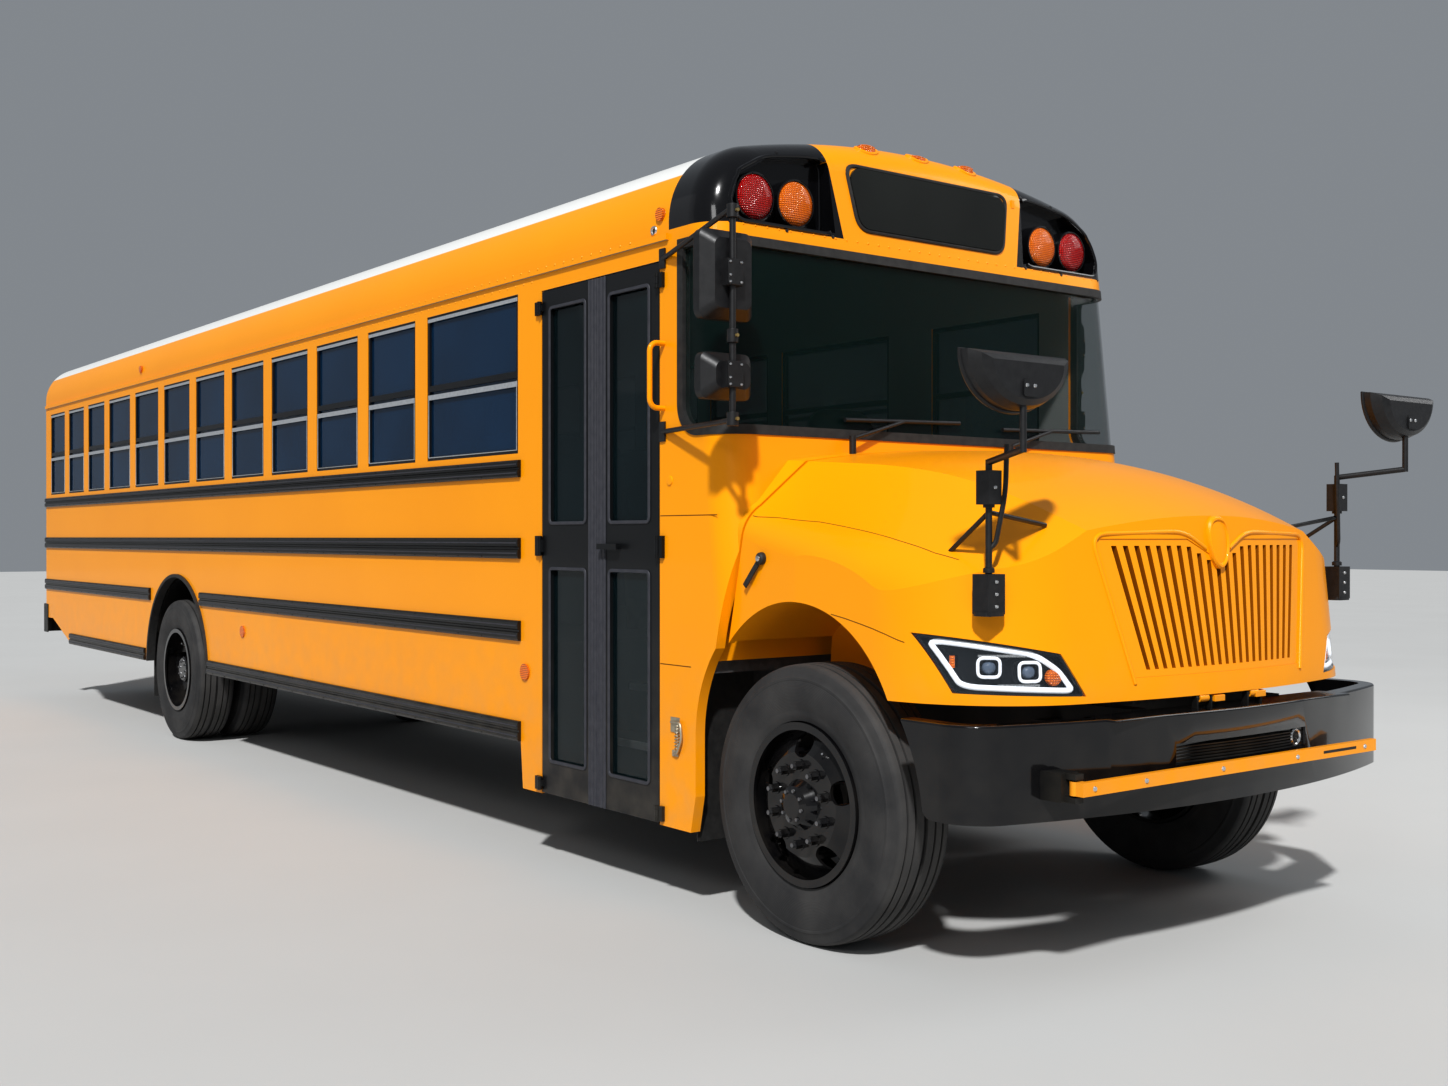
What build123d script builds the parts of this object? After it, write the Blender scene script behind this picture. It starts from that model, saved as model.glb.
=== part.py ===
import math
import os

from build123d import *

os.makedirs("parts", exist_ok=True)

# Frame: +X forward, +Y the left of the bus, +Z up, and Z = 0 the road under the tyres.
# Lengths along the bus
wheelbase = 7010
front_overhang = 1120
rear_overhang = 3890
overall_length = front_overhang + wheelbase + rear_overhang
front_axle_x = overall_length / 2 - front_overhang
rear_axle_x = front_axle_x - wheelbase

# Body section: upright sides, a corner arc and a crowned roof
body_half = 1200
body_wall = 45
roof_top = 3157
roof_corner_radius = 322
roof_crown_radius = 4270
under_cut_z = 200
rear_bumper_depth = 55
body_rear_x = rear_axle_x - rear_overhang + rear_bumper_depth
rear_corner_radius = 90
nose_lean = 0.11
nose_mark_z = 1880
nose_x = front_axle_x - 360
nose_corner_radius = 150

# Heights of the side
skirt_z = 536
door_sill_z = 322
gutter_z = 2665
floor_z = 1000
floor_thickness = 50
rear_skirt_z = 737
skirt_rise_start = 2880
skirt_rise_end = 3510

# Side windows: the groups run forward to rear, each with its count and width
window_bottom_z = 1867
window_top_z = 2603
window_post = 135
window_groups = [(1, 937), (8, 590), (3, 500)]
first_window_x = front_axle_x - 1949
sash_width = 22
sash_depth = 30
sash_bar = 30
pane_thickness = 6
fit_gap = 0.3

# Entrance door
door_front_x = front_axle_x - 803
door_width = 932
door_top_z = 2590
door_rear_x = door_front_x - door_width
door_thickness = 38
door_clearance = 6
door_stile = 72
door_seal = 22
door_lower_glass = (480, 1335)
door_upper_glass = (1545, 2500)
sill_rear_x = door_rear_x - 170

# Wheels
tyre_radius = 510
tyre_width = 280
rim_radius = 298
front_track_outer = 1150
rear_track_outer = 1190
dual_gap = 45
kingpin_y = 900
wheel_bolt_circle = 285.75
wheel_bolt_count = 10

# Rear wheel opening
rear_arch_x = rear_axle_x + 70
rear_arch_radius = 690
rear_arch_z = 521
arch_trim = 24

# Hood: stations along it, measured from the front axle
hood_bottom_z = 930
hood_wall = 28
hood_seam_x = front_axle_x - 370
hood_seam_z = 1270
hood_seam_lean = 0.22
hood_seam_gap = 13
hood_half = 1165
hood_nose_x = front_axle_x + 1015
hood_bow_radius = 3810
hood_corner_radius = 520
front_arch_radius = 545
front_arch_x = front_axle_x - 15
front_arch_z = 700
hood_hinge_x = front_axle_x + 1000
hood_hinge_z = 918

# Bumpers
bumper_front_x = front_axle_x + 1085
bumper_half = 1215
bumper_bottom_z = 570
bumper_top_z = 885
bumper_bow_radius = 3980
bumper_corner_radius = 170
bumper_wall = 60
bumper_wheel_radius = 700

# Chassis
rail_y = 430
rail_height = 240
rail_top_z = 890
rail_flange = 76
rail_web = 10


def save(builder, name):
    builder.part.label = name
    export_step(builder.part, "parts/" + name + ".step")


def box(x0, x1, y0, y1, z0, z1, mode=Mode.ADD):
    plane = Plane(origin=((x0 + x1) / 2, (y0 + y1) / 2, z0))
    with BuildSketch(plane) as footprint:
        Rectangle(x1 - x0, y1 - y0)
    extrude(footprint.sketch, amount=z1 - z0, mode=mode)


def side_plate(points, y0, y1, mode=Mode.ADD):
    # A plate across the bus with its outline in X and Z
    with BuildSketch(Plane.XZ.offset(-y1)) as outline:
        with BuildLine():
            Polyline(*points, close=True)
        make_face()
    extrude(outline.sketch, amount=y1 - y0, mode=mode)


def cross_cylinder(x, z, radius, y0, y1, mode=Mode.ADD):
    with BuildSketch(Plane.XZ.offset(-y1)) as disc:
        with Locations((x, z)):
            Circle(radius)
    extrude(disc.sketch, amount=y1 - y0, mode=mode)


def upright(x, y, radius, z0, z1, mode=Mode.ADD):
    with BuildSketch(Plane.XY.offset(z0)) as disc:
        with Locations((x, y)):
            Circle(radius)
    extrude(disc.sketch, amount=z1 - z0, mode=mode)


def tube(start, end, radius):
    direction = Vector(*end) - Vector(*start)
    with BuildSketch(Plane(origin=start, z_dir=direction)) as section:
        Circle(radius)
    extrude(section.sketch, amount=direction.length)


# Outer form of the body, brought in by an inset
def nose_x_at(z):
    return nose_x - nose_lean * (z - nose_mark_z)


def body_form(inset):
    half = body_half - inset
    corner = roof_corner_radius - inset
    corner_y = body_half - roof_corner_radius
    crown_z = roof_top - roof_crown_radius
    corner_z = crown_z + math.sqrt((roof_crown_radius - roof_corner_radius) ** 2 - corner_y ** 2)
    turn = math.atan2(corner_z - crown_z, corner_y)
    middle = (corner_y + corner * math.cos(turn / 2), corner_z + corner * math.sin(turn / 2))
    join = (corner_y + corner * math.cos(turn), corner_z + corner * math.sin(turn))
    start_x = body_rear_x + inset
    lean_angle = math.atan(nose_lean)
    nose_normal = (math.cos(lean_angle), 0, math.sin(lean_angle))
    with BuildPart() as form:
        with BuildSketch(Plane.YZ.offset(start_x)):
            with BuildLine():
                Polyline((-half, corner_z), (-half, under_cut_z), (half, under_cut_z), (half, corner_z))
                ThreePointArc((half, corner_z), middle, join)
                ThreePointArc(join, (0, roof_top - inset), (-join[0], join[1]))
                ThreePointArc((-join[0], join[1]), (-middle[0], middle[1]), (-half, corner_z))
            make_face()
        extrude(amount=nose_x_at(under_cut_z) - start_x + 100)
        nose_point = Vector(nose_x, 0, nose_mark_z) - Vector(*nose_normal) * inset
        split(bisect_by=Plane(origin=nose_point, z_dir=nose_normal), keep=Keep.BOTTOM)
        nose_edges = form.faces().sort_by(Axis.X)[-1].edges().sort_by(Axis.Z)[1:]
        fillet(nose_edges, radius=nose_corner_radius - inset)
        tail_edges = form.faces().sort_by(Axis.X)[0].edges().sort_by(Axis.Z)[1:]
        fillet(tail_edges, radius=max(rear_corner_radius - inset, 8))
    return form.part


housing_wall = 110
outer_form = body_form(0)
inner_form = body_form(body_wall)
body_shell = outer_form - inner_form
cap_thick_shell = outer_form - body_form(housing_wall)

# Planes along the bus where the panels meet
cap_rear_x = front_axle_x - 740
tail_panel_x = body_rear_x + rear_corner_radius + 10


# Windows as (rear x, front x), forward to rear
def window_spans():
    spans = []
    front = first_window_x
    for count, width in window_groups:
        for number in range(count):
            spans.append((front - width, front))
            front -= width + window_post
    return spans


windows = window_spans()
driver_window = (door_rear_x + 120, door_front_x - 60)

side_outline = [
    (tail_panel_x, gutter_z),
    (tail_panel_x, rear_skirt_z),
    (rear_axle_x - skirt_rise_end, rear_skirt_z),
    (rear_axle_x - skirt_rise_start, skirt_z),
    (sill_rear_x - 20, skirt_z),
    (sill_rear_x, door_sill_z),
    (door_front_x, door_sill_z),
    (door_front_x, gutter_z),
]


def side_wall(side, spans, with_door):
    inner = body_half - body_wall
    y0 = -body_half if side < 0 else inner
    y1 = -inner if side < 0 else body_half
    with BuildPart() as wall:
        side_plate(side_outline, y0, y1)
        for rear, front in spans:
            box(rear, front, y0, y1, window_bottom_z, window_top_z, mode=Mode.SUBTRACT)
        if with_door:
            box(door_rear_x, door_front_x, y0, y1, door_sill_z, door_top_z, mode=Mode.SUBTRACT)
        cross_cylinder(rear_arch_x, rear_arch_z, rear_arch_radius, y0, y1, mode=Mode.SUBTRACT)
    return wall


right_wall = side_wall(-1, windows, True)
save(right_wall, "right_wall")
left_wall = side_wall(1, windows + [driver_window], False)
save(left_wall, "left_wall")

# Roof with two hatch openings and the drip rails
hatch_size = 600
hatch_places = [front_axle_x - 3600, rear_axle_x - 1900]
hatch_cover = 680
hatch_thick = 34
curb_half = 330
curb_top_z = roof_top + 20
hatch_hinge_y = 150
hatch_hinge_offset = 16
hatch_ear = 12
hatch_hinge_z = curb_top_z + 12
hinge_offset = 12
hinge_pin_radius = 6
hinge_sleeve_radius = 11
hinge_fit = 0.3
drip_depth = 14
drip_height = 26
with BuildPart() as roof:
    add(body_shell)
    split(bisect_by=Plane.XY.offset(gutter_z), keep=Keep.TOP)
    split(bisect_by=Plane.YZ.offset(cap_rear_x), keep=Keep.BOTTOM)
    for x in hatch_places:
        box(x - hatch_size / 2, x + hatch_size / 2, -hatch_size / 2, hatch_size / 2, gutter_z + 200,
            roof_top + 50, mode=Mode.SUBTRACT)
        box(x - curb_half, x + curb_half, -curb_half, curb_half, roof_top - 60, curb_top_z)
        box(x - hatch_size / 2, x + hatch_size / 2, -hatch_size / 2, hatch_size / 2, roof_top - 120,
            curb_top_z + 50, mode=Mode.SUBTRACT)
        for side in (-1, 1):
            y0, y1 = sorted((side * hatch_hinge_y, side * (hatch_hinge_y + hatch_ear)))
            hinge_x = x - hatch_cover / 2 - hatch_hinge_offset
            ear_foot_z = curb_top_z - 5
            box(hinge_x - hinge_sleeve_radius, x - curb_half, y0, y1, roof_top - 40, ear_foot_z)
            box(hinge_x - hinge_sleeve_radius, hinge_x + 5, y0, y1, ear_foot_z, hatch_hinge_z)
            cross_cylinder(hinge_x, hatch_hinge_z, hinge_sleeve_radius, y0, y1)
            pin0, pin1 = sorted((side * (hatch_hinge_y - 50), side * (hatch_hinge_y + hatch_ear)))
            cross_cylinder(hinge_x, hatch_hinge_z, hinge_pin_radius, pin0, pin1)
    for y in (-body_half - drip_depth, body_half):
        box(tail_panel_x, cap_rear_x, y, y + drip_depth, gutter_z, gutter_z + drip_height)
save(roof, "roof")

# Front cap over the windshield, between the black lamp housings
windshield_bottom_z = 1875
windshield_top_z = 2655
windshield_rear_x = front_axle_x - 677
windshield_corner = 130
housing_inner_bottom = 525
housing_inner_top = 620
housing_bottom_z = 2704
housing_top_z = 3200

with BuildPart() as cap_shell:
    add(body_shell)
    split(bisect_by=Plane.XY.offset(gutter_z), keep=Keep.TOP)
    split(bisect_by=Plane.YZ.offset(cap_rear_x), keep=Keep.TOP)

housing_outline = [
    (housing_inner_bottom, housing_bottom_z),
    (body_half + 50, housing_bottom_z),
    (body_half + 50, housing_top_z),
    (housing_inner_top, housing_top_z),
]


def housing_block(side):
    with BuildPart() as block:
        with BuildSketch(Plane.YZ.offset(cap_rear_x)):
            with BuildLine():
                Polyline(*[(side * y, z) for y, z in housing_outline], close=True)
            make_face()
        extrude(amount=700)
    return block.part


right_housing_block = housing_block(-1)
left_housing_block = housing_block(1)

with BuildPart() as front_cap:
    add(cap_shell.part)
    add(right_housing_block, mode=Mode.SUBTRACT)
    add(left_housing_block, mode=Mode.SUBTRACT)
save(front_cap, "front_cap")

# Lamp housings: the cap's corners, with a pocket that the two warning lamps stand in
lamp_radius = 90
lamp_z = 2826
amber_lamp_y = 746
red_lamp_y = 956
pocket_depth = 80
lamp_recess = 34
pocket_outline = [(570, 2722), (1060, 2722), (1090, 2790), (1050, 2900), (900, 2985), (700, 3015),
                  (585, 3020)]
lamp_face_x = nose_x_at(lamp_z)
lamp_front_x = lamp_face_x - lamp_recess
with BuildPart() as lamp_housings:
    for side, block in ((-1, right_housing_block), (1, left_housing_block)):
        add(cap_thick_shell & block)
    split(bisect_by=Plane.YZ.offset(cap_rear_x), keep=Keep.TOP)
    for side in (-1, 1):
        with BuildSketch(Plane.YZ.offset(lamp_face_x - pocket_depth)) as pocket:
            with BuildLine():
                Polyline(*[(side * y, z) for y, z in pocket_outline], close=True)
            make_face()
        extrude(pocket.sketch, amount=200, mode=Mode.SUBTRACT)
save(lamp_housings, "lamp_housings")

# Rear wall with the emergency door opening and two fixed windows
rear_door_half = 380
rear_door_bottom_z = 960
rear_door_top_z = 2560
rear_window = (470, 1060)
with BuildPart() as rear_wall:
    add(body_shell)
    split(bisect_by=Plane.XY.offset(gutter_z), keep=Keep.BOTTOM)
    split(bisect_by=Plane.YZ.offset(tail_panel_x), keep=Keep.BOTTOM)
    split(bisect_by=Plane.XY.offset(rear_skirt_z), keep=Keep.TOP)
    tail_x0 = body_rear_x - 10
    tail_x1 = body_rear_x + body_wall + 10
    box(tail_x0, tail_x1, -rear_door_half, rear_door_half, rear_door_bottom_z, rear_door_top_z,
        mode=Mode.SUBTRACT)
    for side in (-1, 1):
        ys = sorted((side * rear_window[0], side * rear_window[1]))
        box(tail_x0, tail_x1, ys[0], ys[1], window_bottom_z, window_top_z - 60, mode=Mode.SUBTRACT)
save(rear_wall, "rear_wall")

# Hood form: the stations give how the section changes from the windshield to the nose
hood_stations = [
    # distance from the axle, half width, side top, shoulder y, shoulder z, deck y, deck z, crown
    (-600, 1165, 1640, 1085, 1760, 950, 1822, 1862),
    (0, 1165, 1400, 1090, 1530, 800, 1755, 1828),
    (450, 1165, 1260, 1050, 1465, 700, 1675, 1752),
    (800, 1130, 1080, 940, 1385, 660, 1545, 1625),
    (1060, 1100, 960, 820, 1290, 600, 1430, 1500),
]
hood_floor_z = 850


def hood_form(inset):
    with BuildPart() as form:
        for dx, half, side_z, shoulder_y, shoulder_z, deck_y, deck_z, crown in hood_stations:
            side_point = (half - inset, side_z - inset / 2)
            shoulder = (shoulder_y - inset * 0.8, shoulder_z - inset * 0.6)
            deck = (deck_y - inset * 0.5, deck_z - inset)
            top = (0, crown - inset)
            with BuildSketch(Plane.YZ.offset(front_axle_x + dx)):
                with BuildLine():
                    Line((-side_point[0], hood_floor_z), (side_point[0], hood_floor_z))
                    Line((side_point[0], hood_floor_z), side_point)
                    TangentArc(side_point, shoulder, tangent=(0, 1))
                    Line(shoulder, deck)
                    ThreePointArc(deck, top, (-deck[0], deck[1]))
                    Line((-deck[0], deck[1]), (-shoulder[0], shoulder[1]))
                    TangentArc((-side_point[0], side_point[1]), (-shoulder[0], shoulder[1]), tangent=(0, 1))
                    Line((-side_point[0], side_point[1]), (-side_point[0], hood_floor_z))
                make_face()
        loft()
        nose = hood_nose_x - inset + nose_lean * (hood_bottom_z - hood_floor_z)
        corner_x = nose - hood_bow_radius + math.sqrt(hood_bow_radius ** 2 - (hood_half - inset) ** 2)
        start_x = front_axle_x - 650
        with BuildSketch(Plane.XY.offset(hood_floor_z)) as plan:
            with BuildLine():
                Polyline((corner_x, -hood_half + inset), (start_x, -hood_half + inset),
                         (start_x, hood_half - inset), (corner_x, hood_half - inset))
                ThreePointArc((corner_x, hood_half - inset), (nose, 0), (corner_x, -hood_half + inset))
            make_face()
            fillet(plan.vertices().sort_by(Axis.X)[-2:], radius=hood_corner_radius - inset)
        extrude(amount=1150, dir=(-nose_lean, 0, 1), mode=Mode.INTERSECT)
    return form.part


hood_outer = hood_form(0)
hood_shell = hood_outer - hood_form(hood_wall)


def seam_plane(gap):
    angle = math.atan(hood_seam_lean)
    normal = (math.cos(angle), 0, -math.sin(angle))
    return Plane(origin=(hood_seam_x + gap, 0, hood_seam_z), z_dir=normal)


def front_arch(y0, y1, radius, mode):
    cross_cylinder(front_arch_x, front_arch_z, radius, y0, y1, mode=mode)
    box(front_arch_x - radius, front_arch_x + radius, y0, y1, under_cut_z, front_arch_z, mode=mode)


# Grille and headlamps share the hood's skin
grille_top_half = 607
grille_bottom_half = 486
grille_top_z = 1474
grille_bottom_z = 1005
grille_ring = 24
grille_slats = 22
slat_fill = 0.56
slat_gap_half = (1 - slat_fill) / grille_slats
notch_half = 168
notch_drop = 75
headlamp_outline = [(707, 954), (793, 1096), (1140, 1163), (1085, 968)]


def grille_points(shrink):
    return [
        (-grille_top_half + shrink, grille_top_z - shrink),
        (-notch_half, grille_top_z - shrink),
        (0, grille_top_z - notch_drop - shrink),
        (notch_half, grille_top_z - shrink),
        (grille_top_half - shrink, grille_top_z - shrink),
        (grille_bottom_half - shrink, grille_bottom_z + shrink),
        (-grille_bottom_half + shrink, grille_bottom_z + shrink),
    ]


def nose_cut(points, mode):
    with BuildSketch(Plane.YZ.offset(front_axle_x + 300)) as outline:
        with BuildLine():
            Polyline(*points, close=True)
        make_face()
    extrude(outline.sketch, amount=900, mode=mode)


with BuildPart() as hood:
    add(hood_shell)
    split(bisect_by=seam_plane(0), keep=Keep.TOP)
    split(bisect_by=Plane.XY.offset(hood_bottom_z), keep=Keep.TOP)
    for y0, y1 in ((-1300, -620), (620, 1300)):
        front_arch(y0, y1, front_arch_radius, Mode.SUBTRACT)
    nose_cut(grille_points(0), Mode.SUBTRACT)
    for side in (-1, 1):
        nose_cut([(side * y, z) for y, z in headlamp_outline], Mode.SUBTRACT)

with BuildPart() as grille:
    nose_cut(grille_points(fit_gap), Mode.ADD)
    with BuildSketch(Plane.YZ.offset(front_axle_x + 300)):
        for number in range(1, grille_slats):
            middle = 2 * number / grille_slats - 1
            edges = (middle - slat_gap_half, middle + slat_gap_half)
            top_y = [edge * (grille_top_half - grille_ring) for edge in edges]
            low_y = [edge * (grille_bottom_half - grille_ring) for edge in edges]
            drop = max(0, notch_drop * (1 - abs(sum(top_y) / 2) / notch_half))
            top_z = grille_top_z - grille_ring - drop
            low_z = grille_bottom_z + grille_ring
            with BuildLine():
                Polyline((low_y[0], low_z), (low_y[1], low_z), (top_y[1], top_z), (top_y[0], top_z),
                         close=True)
            make_face()
    extrude(amount=900, mode=Mode.SUBTRACT)
    add(hood_form(4) - hood_form(34), mode=Mode.INTERSECT)
save(grille, "grille")

with BuildPart() as headlamps:
    for side in (-1, 1):
        nose_cut([(side * y, z) for y, z in headlamp_outline], Mode.ADD)
    add(hood_form(3) - hood_form(60), mode=Mode.INTERSECT)
    box(front_axle_x, front_axle_x + 480, -1300, 1300, 900, 1300, mode=Mode.SUBTRACT)
save(headlamps, "headlamps")


# Cowl: windshield posts, side panels down to the door sill, cowl top and firewall
firewall_x = front_axle_x - 500
firewall_thickness = 30


def windshield_plate(inset, mode):
    x0 = windshield_rear_x + inset
    z0 = windshield_bottom_z + inset
    z1 = windshield_top_z - inset
    with BuildSketch(Plane.XZ.offset(-body_half - 100)) as outline:
        with BuildLine():
            Polyline((x0, z1), (x0, z0), (x0 + 800, z0), (x0 + 800, z1), close=True)
        make_face()
        low_corner = outline.vertices().sort_by(Axis.X)[:2].sort_by(Axis.Y)[0]
        fillet(low_corner, radius=windshield_corner - inset)
    extrude(outline.sketch, amount=2 * body_half + 200, mode=mode)


with BuildPart() as cowl:
    add(body_shell)
    split(bisect_by=Plane.XY.offset(gutter_z), keep=Keep.BOTTOM)
    split(bisect_by=Plane.YZ.offset(door_front_x), keep=Keep.TOP)
    split(bisect_by=Plane.XY.offset(door_sill_z), keep=Keep.TOP)
    windshield_plate(0, Mode.SUBTRACT)
    with BuildPart(mode=Mode.PRIVATE) as cowl_top:
        add(hood_shell)
        split(bisect_by=Plane.YZ.offset(firewall_x), keep=Keep.TOP)
        split(bisect_by=Plane.XY.offset(hood_seam_z), keep=Keep.TOP)
    add(cowl_top.part)
    split(bisect_by=seam_plane(-hood_seam_gap), keep=Keep.BOTTOM)
    for y0, y1 in ((-1300, -620), (620, 1300)):
        front_arch(y0, y1, front_arch_radius, Mode.SUBTRACT)
    with BuildSketch(Plane.YZ.offset(firewall_x)) as firewall:
        with BuildLine():
            Polyline((-1160, floor_z), (1160, floor_z), (1150, 1600), (1000, 1780), (-1000, 1780),
                     (-1150, 1600), close=True)
        make_face()
    extrude(firewall.sketch, amount=firewall_thickness)
save(cowl, "cowl")

# Windshield: one bent pane in a rubber seal
seal_inner = 38
with BuildPart() as windshield_seal:
    windshield_plate(fit_gap, Mode.ADD)
    windshield_plate(seal_inner, Mode.SUBTRACT)
    add(body_form(-6) - body_form(30), mode=Mode.INTERSECT)

with BuildPart() as windshield:
    windshield_plate(seal_inner + fit_gap, Mode.ADD)
    add(body_form(10) - body_form(18), mode=Mode.INTERSECT)
save(windshield, "windshield")

# Side windows: a sash with a bar half way up and two panes
all_windows = [(side, span) for side in (-1, 1) for span in windows] + [(1, driver_window)]
window_middle_z = (window_bottom_z + window_top_z) / 2
sash_outer = body_half - 4
with BuildPart() as window_frames:
    for side, (rear, front) in all_windows:
        y0, y1 = sorted((side * sash_outer, side * (sash_outer - sash_depth)))
        box(rear, front, y0, y1, window_bottom_z, window_top_z)
        for z0, z1 in ((window_bottom_z + sash_width, window_middle_z - sash_bar / 2),
                       (window_middle_z + sash_bar / 2, window_top_z - sash_width)):
            box(rear + sash_width, front - sash_width, y0, y1, z0, z1, mode=Mode.SUBTRACT)
save(window_frames, "window_frames")

with BuildPart() as window_glass:
    for side, (rear, front) in all_windows:
        middle = side * (sash_outer - sash_depth / 2)
        for z0, z1 in ((window_bottom_z + sash_width, window_middle_z - sash_bar / 2),
                       (window_middle_z + sash_bar / 2, window_top_z - sash_width)):
            box(rear + sash_width, front - sash_width, middle - pane_thickness / 2,
                middle + pane_thickness / 2, z0, z1)
    for side in (-1, 1):
        y0, y1 = sorted((side * rear_window[0], side * rear_window[1]))
        box(body_rear_x + 15, body_rear_x + 15 + pane_thickness, y0, y1, window_bottom_z, window_top_z - 60)
save(window_glass, "window_glass")

# Rub rails as (bottom, top, stretches), every stretch from its rear end to its front end
rail_front_x = front_axle_x - 1922
rail_rear_x = tail_panel_x
rail_depth = 19
rub_rail_rows = [
    (1756, 1836, [(rail_rear_x, rail_front_x)]),
    (1380, 1476, [(rail_rear_x, rail_front_x)]),
    (1000, 1093, [(rail_rear_x, rear_axle_x - 546), (rear_axle_x + 607, rail_front_x)]),
    (536, 629, [(rear_axle_x - skirt_rise_start, rear_axle_x - 675), (rear_axle_x + 772, rail_front_x)]),
]
with BuildPart() as rub_rails:
    for side in (-1, 1):
        for z0, z1, stretches in rub_rail_rows:
            height = z1 - z0
            profile = [(0, 0), (rail_depth * 0.7, 0), (rail_depth, height * 0.1), (rail_depth, height * 0.4),
                       (rail_depth * 0.6, height * 0.46), (rail_depth * 0.6, height * 0.54),
                       (rail_depth, height * 0.6), (rail_depth, height * 0.9), (rail_depth * 0.7, height),
                       (0, height)]
            for x0, x1 in stretches:
                with BuildSketch(Plane.YZ.offset(x0)) as section:
                    with BuildLine():
                        Polyline(*[(side * (body_half + y), z0 + z) for y, z in profile], close=True)
                    make_face()
                extrude(section.sketch, amount=x1 - x0)
save(rub_rails, "rub_rails")

# Rubber trim round the rear wheel openings
with BuildPart() as arch_trims:
    for side in (-1, 1):
        y0, y1 = sorted((side * (body_half - body_wall), side * (body_half + 16)))
        cross_cylinder(rear_arch_x, rear_arch_z, rear_arch_radius - fit_gap, y0, y1)
        cross_cylinder(rear_arch_x, rear_arch_z, rear_arch_radius - arch_trim, y0, y1, mode=Mode.SUBTRACT)
    split(bisect_by=Plane.XY.offset(skirt_z), keep=Keep.TOP)

# Floor with cross sills, open over the rear wheels and the step well
floor_half = body_half - body_wall
housing_inner_y = 555
housing_outer_radius = 655
tread_run = 210
well_skin = 15
well_outer_y = floor_half - 5
step_well_inner_y = well_outer_y - 3 * tread_run - well_skin
floor_bottom_z = floor_z - floor_thickness
sill_pitch = 600
sill_count = 17
with BuildPart() as floor:
    box(body_rear_x + body_wall, firewall_x, -floor_half, floor_half, floor_bottom_z, floor_z)
    add(inner_form, mode=Mode.INTERSECT)
    for side in (-1, 1):
        y0, y1 = sorted((side * housing_inner_y, side * body_half))
        box(rear_arch_x - housing_outer_radius, rear_arch_x + housing_outer_radius, y0, y1, floor_bottom_z,
            floor_z, mode=Mode.SUBTRACT)
    box(door_rear_x, door_front_x, -body_half, -step_well_inner_y, floor_bottom_z, floor_z,
        mode=Mode.SUBTRACT)
    for number in range(sill_count):
        x = firewall_x - 150 - number * sill_pitch
        over_wheels = abs(x - rear_arch_x) < housing_outer_radius + 60
        over_steps = door_rear_x - 80 < x < door_front_x + 80
        right_end = housing_inner_y - 5 if over_wheels else floor_half - 40
        if over_steps:
            right_end = step_well_inner_y - 5
        left_end = housing_inner_y - 5 if over_wheels else floor_half - 40
        box(x - 30, x + 30, -right_end, left_end, rail_top_z, floor_bottom_z)
save(floor, "floor")

# Rubber: the windshield seal, the arch trims and the mud flaps under the floor
front_flap_x = firewall_x - 150 + 30
rear_flap_x = rear_axle_x - 640
flap_thick = 8
with BuildPart() as rubber_parts:
    add(windshield_seal.part)
    add(arch_trims.part)
    for side in (-1, 1):
        y0, y1 = sorted((side * 870, side * 1150))
        box(front_flap_x, front_flap_x + flap_thick, y0, y1, 278, floor_bottom_z)
        y0, y1 = sorted((side * 610, side * 1150))
        box(rear_flap_x, rear_flap_x + flap_thick, y0, y1, 260, floor_bottom_z)
save(rubber_parts, "rubber_parts")

# Wheel housings over the rear wheels
housing_sheet = 6
housing_reach = housing_outer_radius - fit_gap


def housing_space(y0, y1, reach, mode):
    cross_cylinder(rear_arch_x, rear_arch_z, reach, y0, y1, mode=mode)
    box(rear_arch_x - reach, rear_arch_x + reach, y0, y1, rear_arch_z - 50, rear_arch_z + 200, mode=mode)


with BuildPart() as wheel_housings:
    for side in (-1, 1):
        y0, y1 = sorted((side * housing_inner_y, side * floor_half))
        housing_space(y0, y1, housing_reach, Mode.ADD)
        y0, y1 = sorted((side * (housing_inner_y + housing_sheet), side * body_half))
        housing_space(y0, y1, housing_reach - housing_sheet, Mode.SUBTRACT)
    split(bisect_by=Plane.XY.offset(760), keep=Keep.TOP)
save(wheel_housings, "wheel_housings")

# Step well of the entrance: three treads up to the floor
tread_heights = [360, 573, 786]
with BuildPart() as step_well:
    stair = [(-well_outer_y, door_sill_z + 8)]
    y = -well_outer_y
    for height in tread_heights:
        stair.append((y, height))
        y += tread_run
        stair.append((y, height))
    stair.append((y, floor_z))
    stair.append((y + well_skin, floor_z))
    for height in reversed(tread_heights):
        stair.append((y + well_skin, height - well_skin))
        y -= tread_run
        stair.append((y + well_skin, height - well_skin))
    outline_points = stair[:-1] + [(-well_outer_y + well_skin, door_sill_z + 8)]
    with BuildSketch(Plane.YZ.offset(door_rear_x)) as section:
        with BuildLine():
            Polyline(*outline_points, close=True)
        make_face()
    extrude(section.sketch, amount=door_width)
    for x in (door_rear_x, door_front_x - well_skin):
        with BuildSketch(Plane.YZ.offset(x)) as cheek:
            with BuildLine():
                Polyline((-well_outer_y, door_sill_z + 8), (-well_outer_y + 200, door_sill_z + 8),
                         (-step_well_inner_y, tread_heights[2] - well_skin), (-step_well_inner_y, floor_z),
                         (-well_outer_y, floor_z), close=True)
            make_face()
        extrude(cheek.sketch, amount=well_skin)
save(step_well, "step_well")

# Entrance door: two leaves hinged at their outer edges, glazed above and below
hinge_heights = [(340, 400), (1395, 1485), (2480, 2540)]
hinge_lug = 16
hinge_plate = 22
door_middle_x = (door_front_x + door_rear_x) / 2
door_outer_y = -body_half
door_inner_y = door_outer_y + door_thickness
hinge_axis_y = door_outer_y - hinge_offset


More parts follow.
